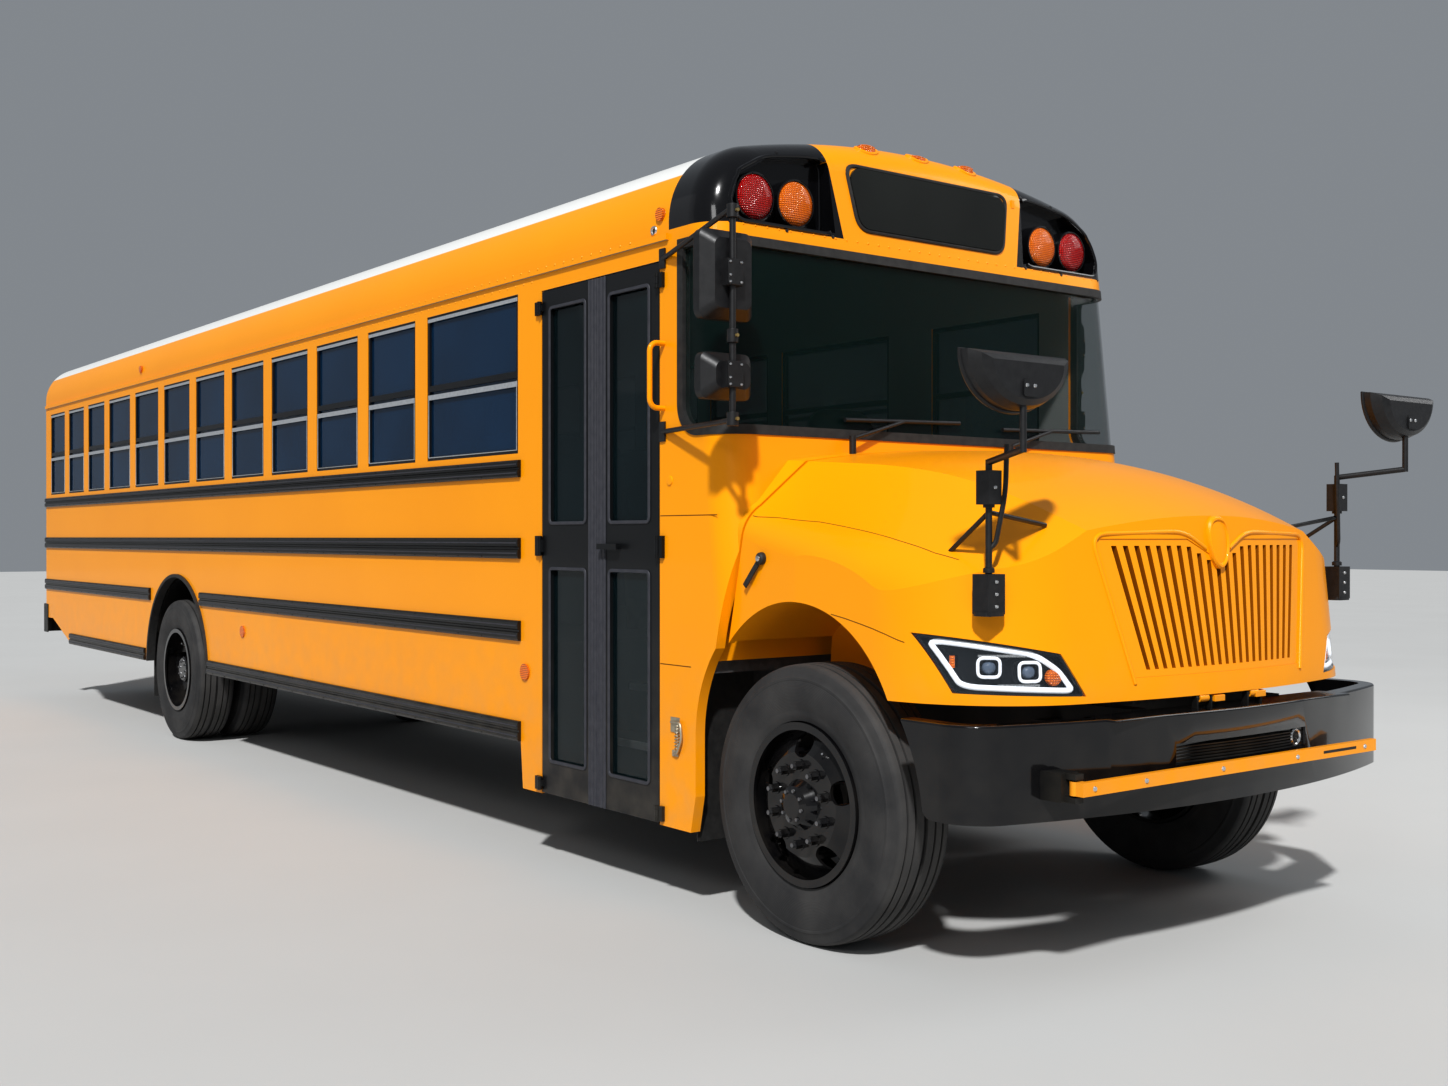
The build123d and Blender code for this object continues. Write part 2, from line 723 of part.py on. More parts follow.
def sleeve(x, y, z0, z1):
    # A sleeve round an upright hinge pin
    upright(x, y, hinge_sleeve_radius, z0, z1)
    upright(x, y, hinge_pin_radius + hinge_fit, z0, z1, mode=Mode.SUBTRACT)


door_panes = [door_lower_glass, door_upper_glass]
door_leaves = [
    ("door_front", door_middle_x + door_clearance / 2 + door_seal, door_front_x - door_clearance,
     door_front_x - door_clearance / 2, -1),
    ("door_rear", door_rear_x + door_clearance, door_middle_x - door_clearance / 2 - door_seal,
     door_rear_x + door_clearance / 2, 1),
]
leaf_bottom_z = door_sill_z + door_clearance
leaf_top_z = door_top_z - door_clearance
for name, x0, x1, axis_x, toward in door_leaves:
    with BuildPart() as leaf:
        box(x0, x1, door_outer_y, door_inner_y, leaf_bottom_z, leaf_top_z)
        for z0, z1 in door_panes:
            box(x0 + door_stile, x1 - door_stile, door_outer_y, door_inner_y, z0, z1, mode=Mode.SUBTRACT)
        for z0, z1 in hinge_heights:
            knuckle0 = z0 + hinge_lug + 1
            knuckle1 = z1 - hinge_lug - 1
            strap0, strap1 = sorted((axis_x, axis_x + toward * hinge_plate))
            box(strap0, strap1, hinge_axis_y, door_outer_y, knuckle0, knuckle1)
            sleeve(axis_x, hinge_axis_y, knuckle0, knuckle1)
        seal_x0 = x0 - door_seal if toward < 0 else x1
        box(seal_x0, seal_x0 + door_seal, door_outer_y + 4, door_inner_y - 4, leaf_bottom_z, leaf_top_z)
        if toward < 0:
            box(x0 + 20, x0 + 170, door_outer_y - 34, door_outer_y - 20, 1428, 1452)
            for handle_x in (x0 + 30, x0 + 146):
                box(handle_x, handle_x + 14, door_outer_y - 20, door_outer_y, 1430, 1450)
    save(leaf, name + "_leaf")
    with BuildPart() as glass:
        for z0, z1 in door_panes:
            box(x0 + door_stile, x1 - door_stile, door_outer_y + 16, door_outer_y + 22, z0, z1)
    save(glass, name + "_glass")
with BuildPart() as door_hinges:
    for name, x0, x1, axis_x, toward in door_leaves:
        for z0, z1 in hinge_heights:
            upright(axis_x, hinge_axis_y, hinge_pin_radius, z0, z1)
            plate0, plate1 = sorted((axis_x - toward * 16, axis_x - toward * (16 + hinge_plate)))
            box(plate0, plate1, hinge_axis_y - 3, door_outer_y, z0, z1)
            for lug0, lug1 in ((z0, z0 + hinge_lug), (z1 - hinge_lug, z1)):
                upright(axis_x, hinge_axis_y, hinge_sleeve_radius, lug0, lug1)
                lug_x0, lug_x1 = sorted((axis_x, axis_x - toward * 20))
                box(lug_x0, lug_x1, hinge_axis_y - 3, hinge_axis_y + 3, lug0, lug1)

# Rear emergency door, hinged at the right and glazed above and below
rear_hinge_y = -rear_door_half + door_clearance / 2
rear_hinge_x = body_rear_x - hinge_offset
rear_door_panes = [(1120, 1560), (window_bottom_z, window_top_z - 110)]
rear_door_stile = 90
door_y0 = -rear_door_half + door_clearance
door_y1 = rear_door_half - door_clearance
pane_y0 = door_y0 + rear_door_stile
pane_y1 = door_y1 - rear_door_stile
rear_hinge_heights = [1080, 1760, 2440]
with BuildPart() as rear_door:
    box(body_rear_x, body_rear_x + 40, door_y0, door_y1, rear_door_bottom_z + door_clearance,
        rear_door_top_z - door_clearance)
    for z0, z1 in rear_door_panes:
        box(body_rear_x, body_rear_x + 40, pane_y0, pane_y1, z0, z1, mode=Mode.SUBTRACT)
    for z in rear_hinge_heights:
        box(rear_hinge_x, body_rear_x, rear_hinge_y, rear_hinge_y + 60, z + 20, z + 60)
        sleeve(rear_hinge_x, rear_hinge_y, z + 20, z + 60)
    box(body_rear_x - 40, body_rear_x - 26, door_y1 - 190, door_y1 - 50, 1640, 1664)
    box(body_rear_x - 26, body_rear_x, door_y1 - 70, door_y1 - 50, 1640, 1664)
save(rear_door, "rear_door")

with BuildPart() as rear_door_glass:
    for z0, z1 in rear_door_panes:
        box(body_rear_x + 16, body_rear_x + 22, pane_y0, pane_y1, z0, z1)
save(rear_door_glass, "rear_door_glass")

with BuildPart() as rear_door_hinges:
    for z in rear_hinge_heights:
        upright(rear_hinge_x, rear_hinge_y, hinge_pin_radius, z, z + 80)
        for z0 in (z, z + 62):
            upright(rear_hinge_x, rear_hinge_y, hinge_sleeve_radius, z0, z0 + 18)
            box(rear_hinge_x - 3, rear_hinge_x + 3, rear_hinge_y - 44, rear_hinge_y, z0, z0 + 18)
        box(rear_hinge_x - 3, body_rear_x, rear_hinge_y - 60, rear_hinge_y - 14, z, z + 80)

# Front bumper: a bowed shell that wraps round the corners, with a low intake
bumper_intake = (388, 712, 784)
bumper_top_plate_x = front_axle_x + 930


def bumper_form(inset):
    front = bumper_front_x - inset
    half = bumper_half - inset
    corner_x = front - bumper_bow_radius + math.sqrt(bumper_bow_radius ** 2 - half ** 2)
    start_x = front_axle_x + 400
    with BuildPart() as form:
        with BuildSketch(Plane.XY.offset(bumper_bottom_z)) as plan:
            with BuildLine():
                Polyline((corner_x, -half), (start_x, -half), (start_x, half), (corner_x, half))
                ThreePointArc((corner_x, half), (front, 0), (corner_x, -half))
            make_face()
            fillet(plan.vertices().sort_by(Axis.X)[-2:], radius=bumper_corner_radius - inset)
        extrude(amount=bumper_top_z - bumper_bottom_z)
    return form.part


bumper_core = bumper_form(bumper_wall)
with BuildPart() as front_bumper:
    add(bumper_form(0))
    add(bumper_core, mode=Mode.SUBTRACT)
    cross_cylinder(front_axle_x, tyre_radius, bumper_wheel_radius, -1300, 1300, mode=Mode.SUBTRACT)
    box(bumper_front_x - 28, bumper_front_x + 20, -bumper_intake[0], bumper_intake[0], bumper_intake[1],
        bumper_intake[2], mode=Mode.SUBTRACT)
    box(bumper_top_plate_x, front_axle_x + 1060, -700, 700, bumper_top_z - 8, bumper_top_z)
save(front_bumper, "front_bumper")

# Hinges that the hood tilts on
hood_hinge_y = 150
hood_pin_radius = 8
hood_sleeve_radius = 14
hood_ear_radius = 11
hood_ear_thick = 10


def hinge_barrel(y0, y1, radius, mode=Mode.ADD):
    cross_cylinder(hood_hinge_x, hood_hinge_z, radius, y0, y1, mode)


with BuildPart() as hood_hinges:
    for side in (-1, 1):
        centre = side * hood_hinge_y
        hinge_barrel(centre - 45, centre + 45, hood_pin_radius)
        for y0 in (centre - 45, centre + 45 - hood_ear_thick):
            y1 = y0 + hood_ear_thick
            box(hood_hinge_x - hood_ear_radius, hood_hinge_x + hood_ear_radius, y0, y1, bumper_top_z,
                hood_hinge_z)
            hinge_barrel(y0, y1, hood_ear_radius)

with BuildPart() as hood_knuckles:
    for side in (-1, 1):
        centre = side * hood_hinge_y
        box(hood_hinge_x - 12, hood_hinge_x + 6, centre - 25, centre + 25, hood_hinge_z, hood_bottom_z)
        hinge_barrel(centre - 25, centre + 25, hood_sleeve_radius)
        hinge_barrel(centre - 25, centre + 25, hood_pin_radius + hinge_fit, mode=Mode.SUBTRACT)
    split(bisect_by=Plane.XY.offset(hood_bottom_z), keep=Keep.BOTTOM)
liner_sheet = 8
liner_sweep = 1415
liner_inner_y = 620
liner_outer_y = hood_half - hood_wall - fit_gap
with BuildPart() as fender_liners:
    for side in (-1, 1):
        y0, y1 = sorted((side * liner_inner_y, side * liner_outer_y))
        front_arch(y0, y1, front_arch_radius + liner_sheet, Mode.ADD)
        cut0, cut1 = sorted((side * (liner_inner_y + liner_sheet), side * (body_half + 50)))
        front_arch(cut0, cut1, front_arch_radius, Mode.SUBTRACT)
    split(bisect_by=Plane.XY.offset(hood_bottom_z), keep=Keep.TOP)
    split(bisect_by=seam_plane(0), keep=Keep.TOP)
    add(hood_form(hood_wall + fit_gap), mode=Mode.INTERSECT)
    cross_cylinder(hood_hinge_x, hood_hinge_z, liner_sweep, -body_half, body_half, mode=Mode.INTERSECT)
    box(front_axle_x + 540, front_axle_x + 900, -1200, 1200, hood_bottom_z, 1300, mode=Mode.SUBTRACT)

with BuildPart() as whole_hood:
    add(hood.part)
    add(hood_knuckles.part)
    add(fender_liners.part)
save(whole_hood, "hood")

# Rear bumper
rear_bumper_bottom_z = 600
rear_bumper_top_z = 860
rear_bumper_x = body_rear_x - rear_bumper_depth
with BuildPart() as rear_bumper:
    box(rear_bumper_x, tail_panel_x + 60, -body_half - 8, body_half + 8, rear_bumper_bottom_z,
        rear_bumper_top_z)
    fillet(rear_bumper.edges().filter_by(Axis.Z).sort_by(Axis.X)[:2], radius=rear_corner_radius)
    add(body_form(-fit_gap), mode=Mode.SUBTRACT)
save(rear_bumper, "rear_bumper")

# Chassis ladder: two channel rails and their crossmembers
rail_bottom_z = rail_top_z - rail_height
rail_rear_end_x = body_rear_x + body_wall + fit_gap
bumper_horn_limit = bumper_form(bumper_wall + fit_gap)
crossmembers = [-3650, -2700, -1100, 1100, 2600, 4200, 5300]
with BuildPart() as chassis_frame:
    for side in (-1, 1):
        channel = [(0, 0), (rail_flange, 0), (rail_flange, rail_web), (rail_web, rail_web),
                   (rail_web, rail_height - rail_web), (rail_flange, rail_height - rail_web),
                   (rail_flange, rail_height), (0, rail_height)]
        points = [(side * (rail_y + rail_web - y), rail_bottom_z + z) for y, z in channel]
        with BuildSketch(Plane.YZ.offset(rail_rear_end_x)) as section:
            with BuildLine():
                Polyline(*points, close=True)
            make_face()
        extrude(section.sketch, amount=bumper_top_plate_x - 5 - rail_rear_end_x)
        y0, y1 = sorted((side * (rail_y - 20), side * (rail_y + rail_web)))
        with BuildPart(mode=Mode.PRIVATE) as horn:
            box(bumper_top_plate_x - 60, bumper_front_x, y0, y1, rail_bottom_z + 10, bumper_top_z - 12)
            add(bumper_horn_limit, mode=Mode.INTERSECT)
        add(horn.part)
    for dx in crossmembers:
        x = rear_axle_x + dx
        box(x - 40, x + 40, -rail_y, rail_y, rail_bottom_z + 50, rail_bottom_z + 58)
        box(x - 4, x + 4, -rail_y, rail_y, rail_bottom_z + 50, rail_top_z - 50)
save(chassis_frame, "chassis_frame")

# Front axle beam with its kingpins, and the knuckles that turn on them
beam_z = 470
beam_half_x = 42
kingpin_radius = 20
kingpin_boss_radius = 44
boss_half_height = 70
lug_height = 34
knuckle_gap = 5.5
hub_spindle_radius = 36
rear_spindle_radius = 50
lug_reach = boss_half_height + knuckle_gap + lug_height
knuckle_low_z = tyre_radius - lug_reach
beam_drop = [(kingpin_y, 20, -50), (kingpin_y - 150, 10, -60), (560, -10, -100)]
with BuildPart() as front_axle:
    upper = [(-y, tyre_radius + top) for y, top, low in beam_drop]
    upper += [(y, tyre_radius + top) for y, top, low in reversed(beam_drop)]
    lower = [(y, tyre_radius + low) for y, top, low in beam_drop]
    lower += [(-y, tyre_radius + low) for y, top, low in reversed(beam_drop)]
    with BuildSketch(Plane.YZ.offset(front_axle_x - beam_half_x)) as beam:
        with BuildLine():
            Polyline(*upper, *lower, close=True)
        make_face()
    extrude(beam.sketch, amount=2 * beam_half_x)
    for side in (-1, 1):
        y = side * kingpin_y
        upright(front_axle_x, y, kingpin_boss_radius, tyre_radius - boss_half_height,
                tyre_radius + boss_half_height)
        upright(front_axle_x, y, kingpin_radius, knuckle_low_z, tyre_radius + lug_reach)
save(front_axle, "front_axle")

steer_arm_x = -175
steer_arm_thick = 20
steer_stud_radius = 12
for name, side in (("right", -1), ("left", 1)):
    with BuildPart() as knuckle:
        outer = side * (kingpin_y + 92)
        y0, y1 = sorted((side * (kingpin_y - 40), outer))
        for z0 in (tyre_radius + boss_half_height + knuckle_gap, knuckle_low_z):
            box(front_axle_x - 34, front_axle_x + 34, y0, y1, z0, z0 + lug_height)
        web0, web1 = sorted((side * (kingpin_y + 56), outer))
        box(front_axle_x - 50, front_axle_x + 50, web0, web1, knuckle_low_z, tyre_radius + lug_reach)
        upright(front_axle_x, side * kingpin_y, kingpin_radius + hinge_fit, knuckle_low_z,
                tyre_radius + lug_reach, mode=Mode.SUBTRACT)
        tip0, tip1 = sorted((outer, side * (front_track_outer - 20)))
        cross_cylinder(front_axle_x, tyre_radius, hub_spindle_radius, tip0, tip1)
        with BuildSketch(Plane.XY.offset(knuckle_low_z)) as arm:
            with BuildLine():
                Polyline((front_axle_x - 30, side * (kingpin_y - 40)),
                         (front_axle_x + steer_arm_x - 25, side * (kingpin_y - 22)),
                         (front_axle_x + steer_arm_x - 25, side * (kingpin_y + 22)),
                         (front_axle_x - 30, side * (kingpin_y + 56)), close=True)
            make_face()
        extrude(arm.sketch, amount=steer_arm_thick)
        upright(front_axle_x + steer_arm_x, side * kingpin_y, steer_stud_radius, knuckle_low_z - 34,
                knuckle_low_z + steer_arm_thick / 2)
    save(knuckle, "knuckle_" + name)

tie_rod_radius = 15
tie_rod_eye_radius = 24
tie_rod_z = knuckle_low_z - tie_rod_radius - 3
with BuildPart() as tie_rod:
    rod_x = front_axle_x + steer_arm_x
    cross_cylinder(rod_x, tie_rod_z, tie_rod_radius, -kingpin_y, kingpin_y)
    for side in (-1, 1):
        y = side * kingpin_y
        upright(rod_x, y, tie_rod_eye_radius, tie_rod_z - tie_rod_radius, tie_rod_z + tie_rod_radius)
        upright(rod_x, y, steer_stud_radius + hinge_fit, tie_rod_z - 2 * tie_rod_radius,
                tie_rod_z + 2 * tie_rod_radius, mode=Mode.SUBTRACT)
save(tie_rod, "tie_rod")

# Rear axle: tube, differential and the spindles in the wheels
with BuildPart() as rear_axle:
    cross_cylinder(rear_axle_x, tyre_radius, 62, -rear_track_outer + 330, rear_track_outer - 330)
    with BuildSketch(Plane.XZ.offset(-150)) as bowl:
        with Locations((rear_axle_x, tyre_radius)):
            Circle(190)
    extrude(bowl.sketch, amount=300)
    spindle_end = rear_track_outer - 120
    cross_cylinder(rear_axle_x, tyre_radius, rear_spindle_radius, -spindle_end, spindle_end)
save(rear_axle, "rear_axle")

# Leaf springs on both axles, hung from the rails
spring_y = 500
spring_half_width = 38
leaf_thick = 15
leaf_camber = 70
leaf_shares = [0.44, 0.72, 1.0]
spring_places = [(front_axle_x, beam_z + 30, 620), (rear_axle_x, tyre_radius + 62, 680)]


def spring_leaf(axle_x, side, low, half_length, share):
    reach = half_length * share
    end_z = low + leaf_camber * share ** 2
    with BuildSketch(Plane.XZ.offset(-side * spring_y + spring_half_width)) as outline:
        with BuildLine():
            ThreePointArc((axle_x - reach, end_z), (axle_x, low), (axle_x + reach, end_z))
            Line((axle_x + reach, end_z), (axle_x + reach, end_z + leaf_thick))
            ThreePointArc((axle_x + reach, end_z + leaf_thick), (axle_x, low + leaf_thick),
                          (axle_x - reach, end_z + leaf_thick))
            Line((axle_x - reach, end_z + leaf_thick), (axle_x - reach, end_z))
        make_face()
    extrude(outline.sketch, amount=-2 * spring_half_width)


with BuildPart() as leaf_springs:
    for axle_x, spring_z, half_length in spring_places:
        for side in (-1, 1):
            for number, share in enumerate(leaf_shares):
                spring_leaf(axle_x, side, spring_z + number * leaf_thick, half_length, share)
            y0, y1 = sorted((side * (rail_y + rail_web), side * (spring_y + spring_half_width)))
            eye_z = spring_z + 2 * leaf_thick + leaf_camber
            for end_x in (axle_x - half_length + 25, axle_x + half_length - 25):
                box(end_x - 25, end_x + 25, y0, y1, eye_z - 20, rail_top_z - 60)
save(leaf_springs, "leaf_springs")

# Wheels: the tyre on its rim, with the disc, the hub and ten nuts
tyre_sides = 48
tyre_shoulder = (0.46, 474)
tyre_tread_share = 0.37
tyre_bulge_radius = 404
tyre_dish_radius = 396
tyre_bead = (0.43, rim_radius + 1)
tyre_bore = rim_radius + fit_gap
hand_hole_radius = 44
hand_hole_circle = 215
hand_holes = 5
nut_radius = 16.5
nut_height = 33


def tyre_section(x, y, radius):
    with BuildSketch(Plane(origin=(x, y, tyre_radius), x_dir=(0, 0, 1), z_dir=(0, 1, 0))) as section:
        RegularPolygon(radius, tyre_sides)
    return section.sketch


def tyre(x, centre):
    half_sections = [(0.5, tyre_bulge_radius), tyre_shoulder, (tyre_tread_share, tyre_radius)]
    stations = [(-share, radius) for share, radius in half_sections]
    stations += [(share, radius) for share, radius in reversed(half_sections)]
    loft([tyre_section(x, centre + share * tyre_width, radius) for share, radius in stations], ruled=True)
    for side in (-1, 1):
        face = tyre_section(x, centre + side * tyre_width / 2, tyre_dish_radius)
        bead = tyre_section(x, centre + side * tyre_bead[0] * tyre_width, tyre_bead[1])
        loft([face, bead], ruled=True, mode=Mode.SUBTRACT)
    plane = Plane(origin=(x, centre - tyre_width / 2, tyre_radius), x_dir=(0, 0, 1), z_dir=(0, 1, 0))
    with BuildSketch(plane) as bore:
        RegularPolygon(tyre_bore, tyre_sides, major_radius=False)
    extrude(bore.sketch, amount=tyre_width, mode=Mode.SUBTRACT)


def wheel_plane(x):
    return Plane(origin=(x, 0, tyre_radius), x_dir=(0, 1, 0), z_dir=(1, 0, 0))


def spun(x, side, outer_y, profile, shift=0):
    with BuildSketch(wheel_plane(x)) as section:
        with BuildLine():
            Polyline(*[(side * (outer_y + shift + distance), radius) for distance, radius in profile],
                     close=True)
        make_face()
    revolve(section.sketch, axis=Axis((x, 0, tyre_radius), (0, 1, 0)))


def lug_nuts(x, face, outward):
    for number in range(wheel_bolt_count):
        angle = 2 * math.pi * number / wheel_bolt_count
        reach = wheel_bolt_circle / 2
        centre = (x + reach * math.sin(angle), face, tyre_radius + reach * math.cos(angle))
        with BuildSketch(Plane(origin=centre, x_dir=(1, 0, 0), z_dir=(0, outward, 0))) as nut:
            RegularPolygon(nut_radius, 6)
        extrude(nut.sketch, amount=nut_height)


def hand_hole_cut(x, y0, y1):
    with BuildSketch(Plane.XZ.offset(-y1)) as holes:
        with Locations((x, tyre_radius)):
            with PolarLocations(hand_hole_circle, hand_holes, start_angle=90):
                Circle(hand_hole_radius)
    extrude(holes.sketch, amount=y1 - y0, mode=Mode.SUBTRACT)


# Wheel sections as (distance outward from the tyre's outer face, radius)
barrel_inner = 284
lip_inner = 270
hub_bore = hub_spindle_radius + hinge_fit
rear_hub_bore = rear_spindle_radius + hinge_fit
rim_barrel = [(-8, lip_inner), (-8, rim_radius), (-272, rim_radius), (-272, barrel_inner),
              (-22, barrel_inner), (-22, lip_inner)]
front_disc = [(-70, barrel_inner + 1), (-12, 190), (-12, 92), (22, 70), (34, 44), (34, 0), (4, 0),
              (4, hub_bore), (-120, hub_bore), (-120, 110), (-26, 110), (-26, 190), (-206, 190), (-206, 204),
              (-34, 204), (-86, barrel_inner + 1)]
rear_disc = [(-100, barrel_inner + 1), (-152, 196), (-158, 104), (-60, 92), (-52, 80), (-52, 0), (-70, 0),
             (-70, rear_hub_bore), (-200, rear_hub_bore), (-200, 190), (-330, 190), (-330, 204), (-204, 204),
             (-372, barrel_inner + 1), (-348, barrel_inner + 1), (-178, 204), (-120, barrel_inner + 1)]
front_hand_hole = (-100, -10)
rear_hand_hole = (-174, -90)


for name, side in (("right", -1), ("left", 1)):
    with BuildPart() as front_tyre:
        tyre(front_axle_x, side * (front_track_outer - tyre_width / 2))
    save(front_tyre, "tyre_front_" + name)

    with BuildPart() as front_rim:
        spun(front_axle_x, side, front_track_outer, front_disc)
        hole_y = sorted(side * (front_track_outer + distance) for distance in front_hand_hole)
        hand_hole_cut(front_axle_x, *hole_y)
        spun(front_axle_x, side, front_track_outer, rim_barrel)
        lug_nuts(front_axle_x, side * (front_track_outer - 14), side)
    save(front_rim, "rim_front_" + name)

    with BuildPart() as rear_tyres:
        tyre(rear_axle_x, side * (rear_track_outer - tyre_width / 2))
        tyre(rear_axle_x, side * (rear_track_outer - tyre_width * 1.5 - dual_gap))
    save(rear_tyres, "tyres_rear_" + name)

    with BuildPart() as rear_rims:
        spun(rear_axle_x, side, rear_track_outer, rear_disc)
        hole_y = sorted(side * (rear_track_outer + distance) for distance in rear_hand_hole)
        hand_hole_cut(rear_axle_x, *hole_y)
        spun(rear_axle_x, side, rear_track_outer, rim_barrel)
        spun(rear_axle_x, side, rear_track_outer, rim_barrel, -tyre_width - dual_gap)
        lug_nuts(rear_axle_x, side * (rear_track_outer - 160), side)
    save(rear_rims, "rims_rear_" + name)

# Red and amber lamps: the eight warning lamps, the rear lamps and the small markers
lamp_back = 26


def lamp(x0, x1, y, z, radius):
    with BuildSketch(Plane.YZ.offset(x0)) as disc:
        with Locations((y, z)):
            Circle(radius)
    extrude(disc.sketch, amount=x1 - x0)


rear_lamp_x = body_rear_x - lamp_back
brake_lamp = (930, 1560, 88)
turn_lamp = (930, 1350, 88)
tail_lamp = (730, 1560, 50)
with BuildPart() as red_lamps:
    for side in (-1, 1):
        lamp(lamp_face_x - pocket_depth, lamp_front_x, side * red_lamp_y, lamp_z, lamp_radius)
        lamp(rear_lamp_x, body_rear_x, side * red_lamp_y, lamp_z - 20, lamp_radius)
        for y, z, radius in (brake_lamp, tail_lamp):
            lamp(rear_lamp_x, body_rear_x, side * y, z, radius)
save(red_lamps, "red_lamps")

marker_places = [-300, 0, 300]
side_marker_x = [door_front_x + 10, rear_axle_x - 780]
reflector_x = [rail_front_x + 42, rear_axle_x + 1440]
with BuildPart() as amber_lamps:
    for side in (-1, 1):
        lamp(lamp_face_x - pocket_depth, lamp_front_x, side * amber_lamp_y, lamp_z, lamp_radius)
        lamp(rear_lamp_x, body_rear_x, side * amber_lamp_y, lamp_z - 20, lamp_radius)
        lamp(rear_lamp_x, body_rear_x, side * turn_lamp[0], turn_lamp[1], turn_lamp[2])
        for x in reflector_x:
            y0, y1 = sorted((side * body_half, side * (body_half + 9)))
            cross_cylinder(x, 860, 38, y0, y1)
    for y in marker_places:
        with BuildSketch(Plane.XY.offset(3060)) as marker:
            with Locations((nose_x_at(3100) - 66, y)):
                SlotOverall(90, 46, rotation=90)
        extrude(marker.sketch, amount=78)
    for x in side_marker_x:
        for side in (-1, 1):
            y0, y1 = sorted((side * (body_half - 60), side * (body_half + 12)))
            cross_cylinder(x, gutter_z + 110, 26, y0, y1)
    add(body_form(-fit_gap), mode=Mode.SUBTRACT)
    for side in (-1, 1):
        lamp(lamp_face_x - pocket_depth, lamp_front_x, side * amber_lamp_y, lamp_z, lamp_radius)
save(amber_lamps, "amber_lamps")

# Dark sign window on the cap, in its black frame
sign_outline = [(-429, 2760), (-482, 3015), (482, 3015), (429, 2760)]
with BuildPart() as sign_window:
    with BuildSketch(Plane.YZ.offset(cap_rear_x)) as sign:
        with BuildLine():
            Polyline(*sign_outline, close=True)
        make_face()
        fillet(sign.vertices(), radius=60)
    extrude(sign.sketch, amount=600)
    add(body_form(-10) - body_form(-fit_gap), mode=Mode.INTERSECT)
save(sign_window, "sign_window")

# Outside mirrors on their tubes: the right pair stands ahead of the door, the left one beside the driver
mirror_tube_radius = 12
mirror_y = 1350
mirror_right_x = front_axle_x - 130
mirror_left_x = front_axle_x - 780
mirror_top_z = 2680
mirror_low_z = 1890
mirror_heads = [(2270, 2595, 120), (1980, 2150, 115)]
mirror_head_shift = 15
mirror_sections = [(95, 0), (60, 0), (14, 36)]


def mirror_head(tube_x, y, z0, z1, half_width):
    # The housing draws in towards the tube, which a block clamps
    middle_z = (z0 + z1) / 2
    sections = []
    head_y = math.copysign(abs(y) - mirror_head_shift, y)
    for back, inset in mirror_sections:
        plane = Plane(origin=(tube_x - back, head_y, middle_z), x_dir=(0, 1, 0), z_dir=(1, 0, 0))
        with BuildSketch(plane) as outline:
            RectangleRounded(2 * (half_width - inset), z1 - z0 - 2 * inset, 30)
        sections.append(outline.sketch)
    loft(sections, ruled=True)
    box(tube_x - 24, tube_x + 16, y - 36, y + 36, middle_z - 48, middle_z + 48)


with BuildPart() as side_mirrors:
    for side, tube_x in ((-1, mirror_right_x), (1, mirror_left_x)):
        y = side * mirror_y
        post_x = door_front_x + 24
        upright(tube_x, y, mirror_tube_radius, mirror_low_z, mirror_top_z)
        for z in (mirror_top_z - 12, mirror_low_z + 12):
            wall_z = z if z < 2000 else gutter_z - 70
            start = (post_x, side * body_half, wall_z)
            bend = (tube_x, y, z)
            tube(start, bend, mirror_tube_radius - 2)
            y0, y1 = sorted((side * body_half, side * (body_half + 8)))
            box(post_x - 19, post_x + 19, y0, y1, wall_z - 40, wall_z + 40)
        for z0, z1, half_width in mirror_heads:
            mirror_head(tube_x, y, z0, z1, half_width)
    add(outer_form, mode=Mode.SUBTRACT)
save(side_mirrors, "side_mirrors")

# Crossview mirrors on tripods over the fenders
cross_tube_radius = 11
cross_x = front_axle_x + 812
cross_y = 1030
cross_foot_z = 1230
cross_top_z = 1730
cross_head = (front_axle_x + 1045, 1130, 1955)
head_half = 225
head_deep = 178
bowl_sections = [(-60, 0), (-22, 2), (12, 28), (26, 64)]


def bowl(x, y, top_z, inset):
    # A half oval with its flat edge up
    half = head_half - inset
    with BuildSketch(Plane(origin=(x, y, top_z), x_dir=(0, 1, 0), z_dir=(1, 0, 0))) as outline:
        Ellipse(half, head_deep - inset)
        Rectangle(2 * half, head_deep, align=(Align.CENTER, Align.MIN), mode=Mode.SUBTRACT)
    return outline.sketch


with BuildPart() as crossview_mirrors:
    for side in (-1, 1):
        y = side * cross_y
        upright(cross_x, y, cross_tube_radius, cross_foot_z, cross_top_z)
        head_x, head_y, head_z = cross_head
        tube((cross_x, y, cross_top_z - 8), (head_x, side * head_y, cross_top_z + 20), cross_tube_radius)
        upright(head_x, side * head_y, cross_tube_radius, cross_top_z + 10, head_z)
        tube((cross_x, y, 1560), (front_axle_x + 602, side * 1000, 1425), 8)
        tube((cross_x, y, 1560), (front_axle_x + 789, side * 729, 1520), 8)
        box(cross_x - 34, cross_x + 34, y - 40, y + 40, cross_foot_z, cross_foot_z + 130)
        box(cross_x - 28, cross_x + 28, y - 30, y + 30, 1585, 1695)
        loft([bowl(head_x + dx, side * head_y, head_z + 92 - inset / 2, inset)
              for dx, inset in bowl_sections], ruled=True)
    add(hood_form(-fit_gap), mode=Mode.SUBTRACT)
save(crossview_mirrors, "crossview_mirrors")

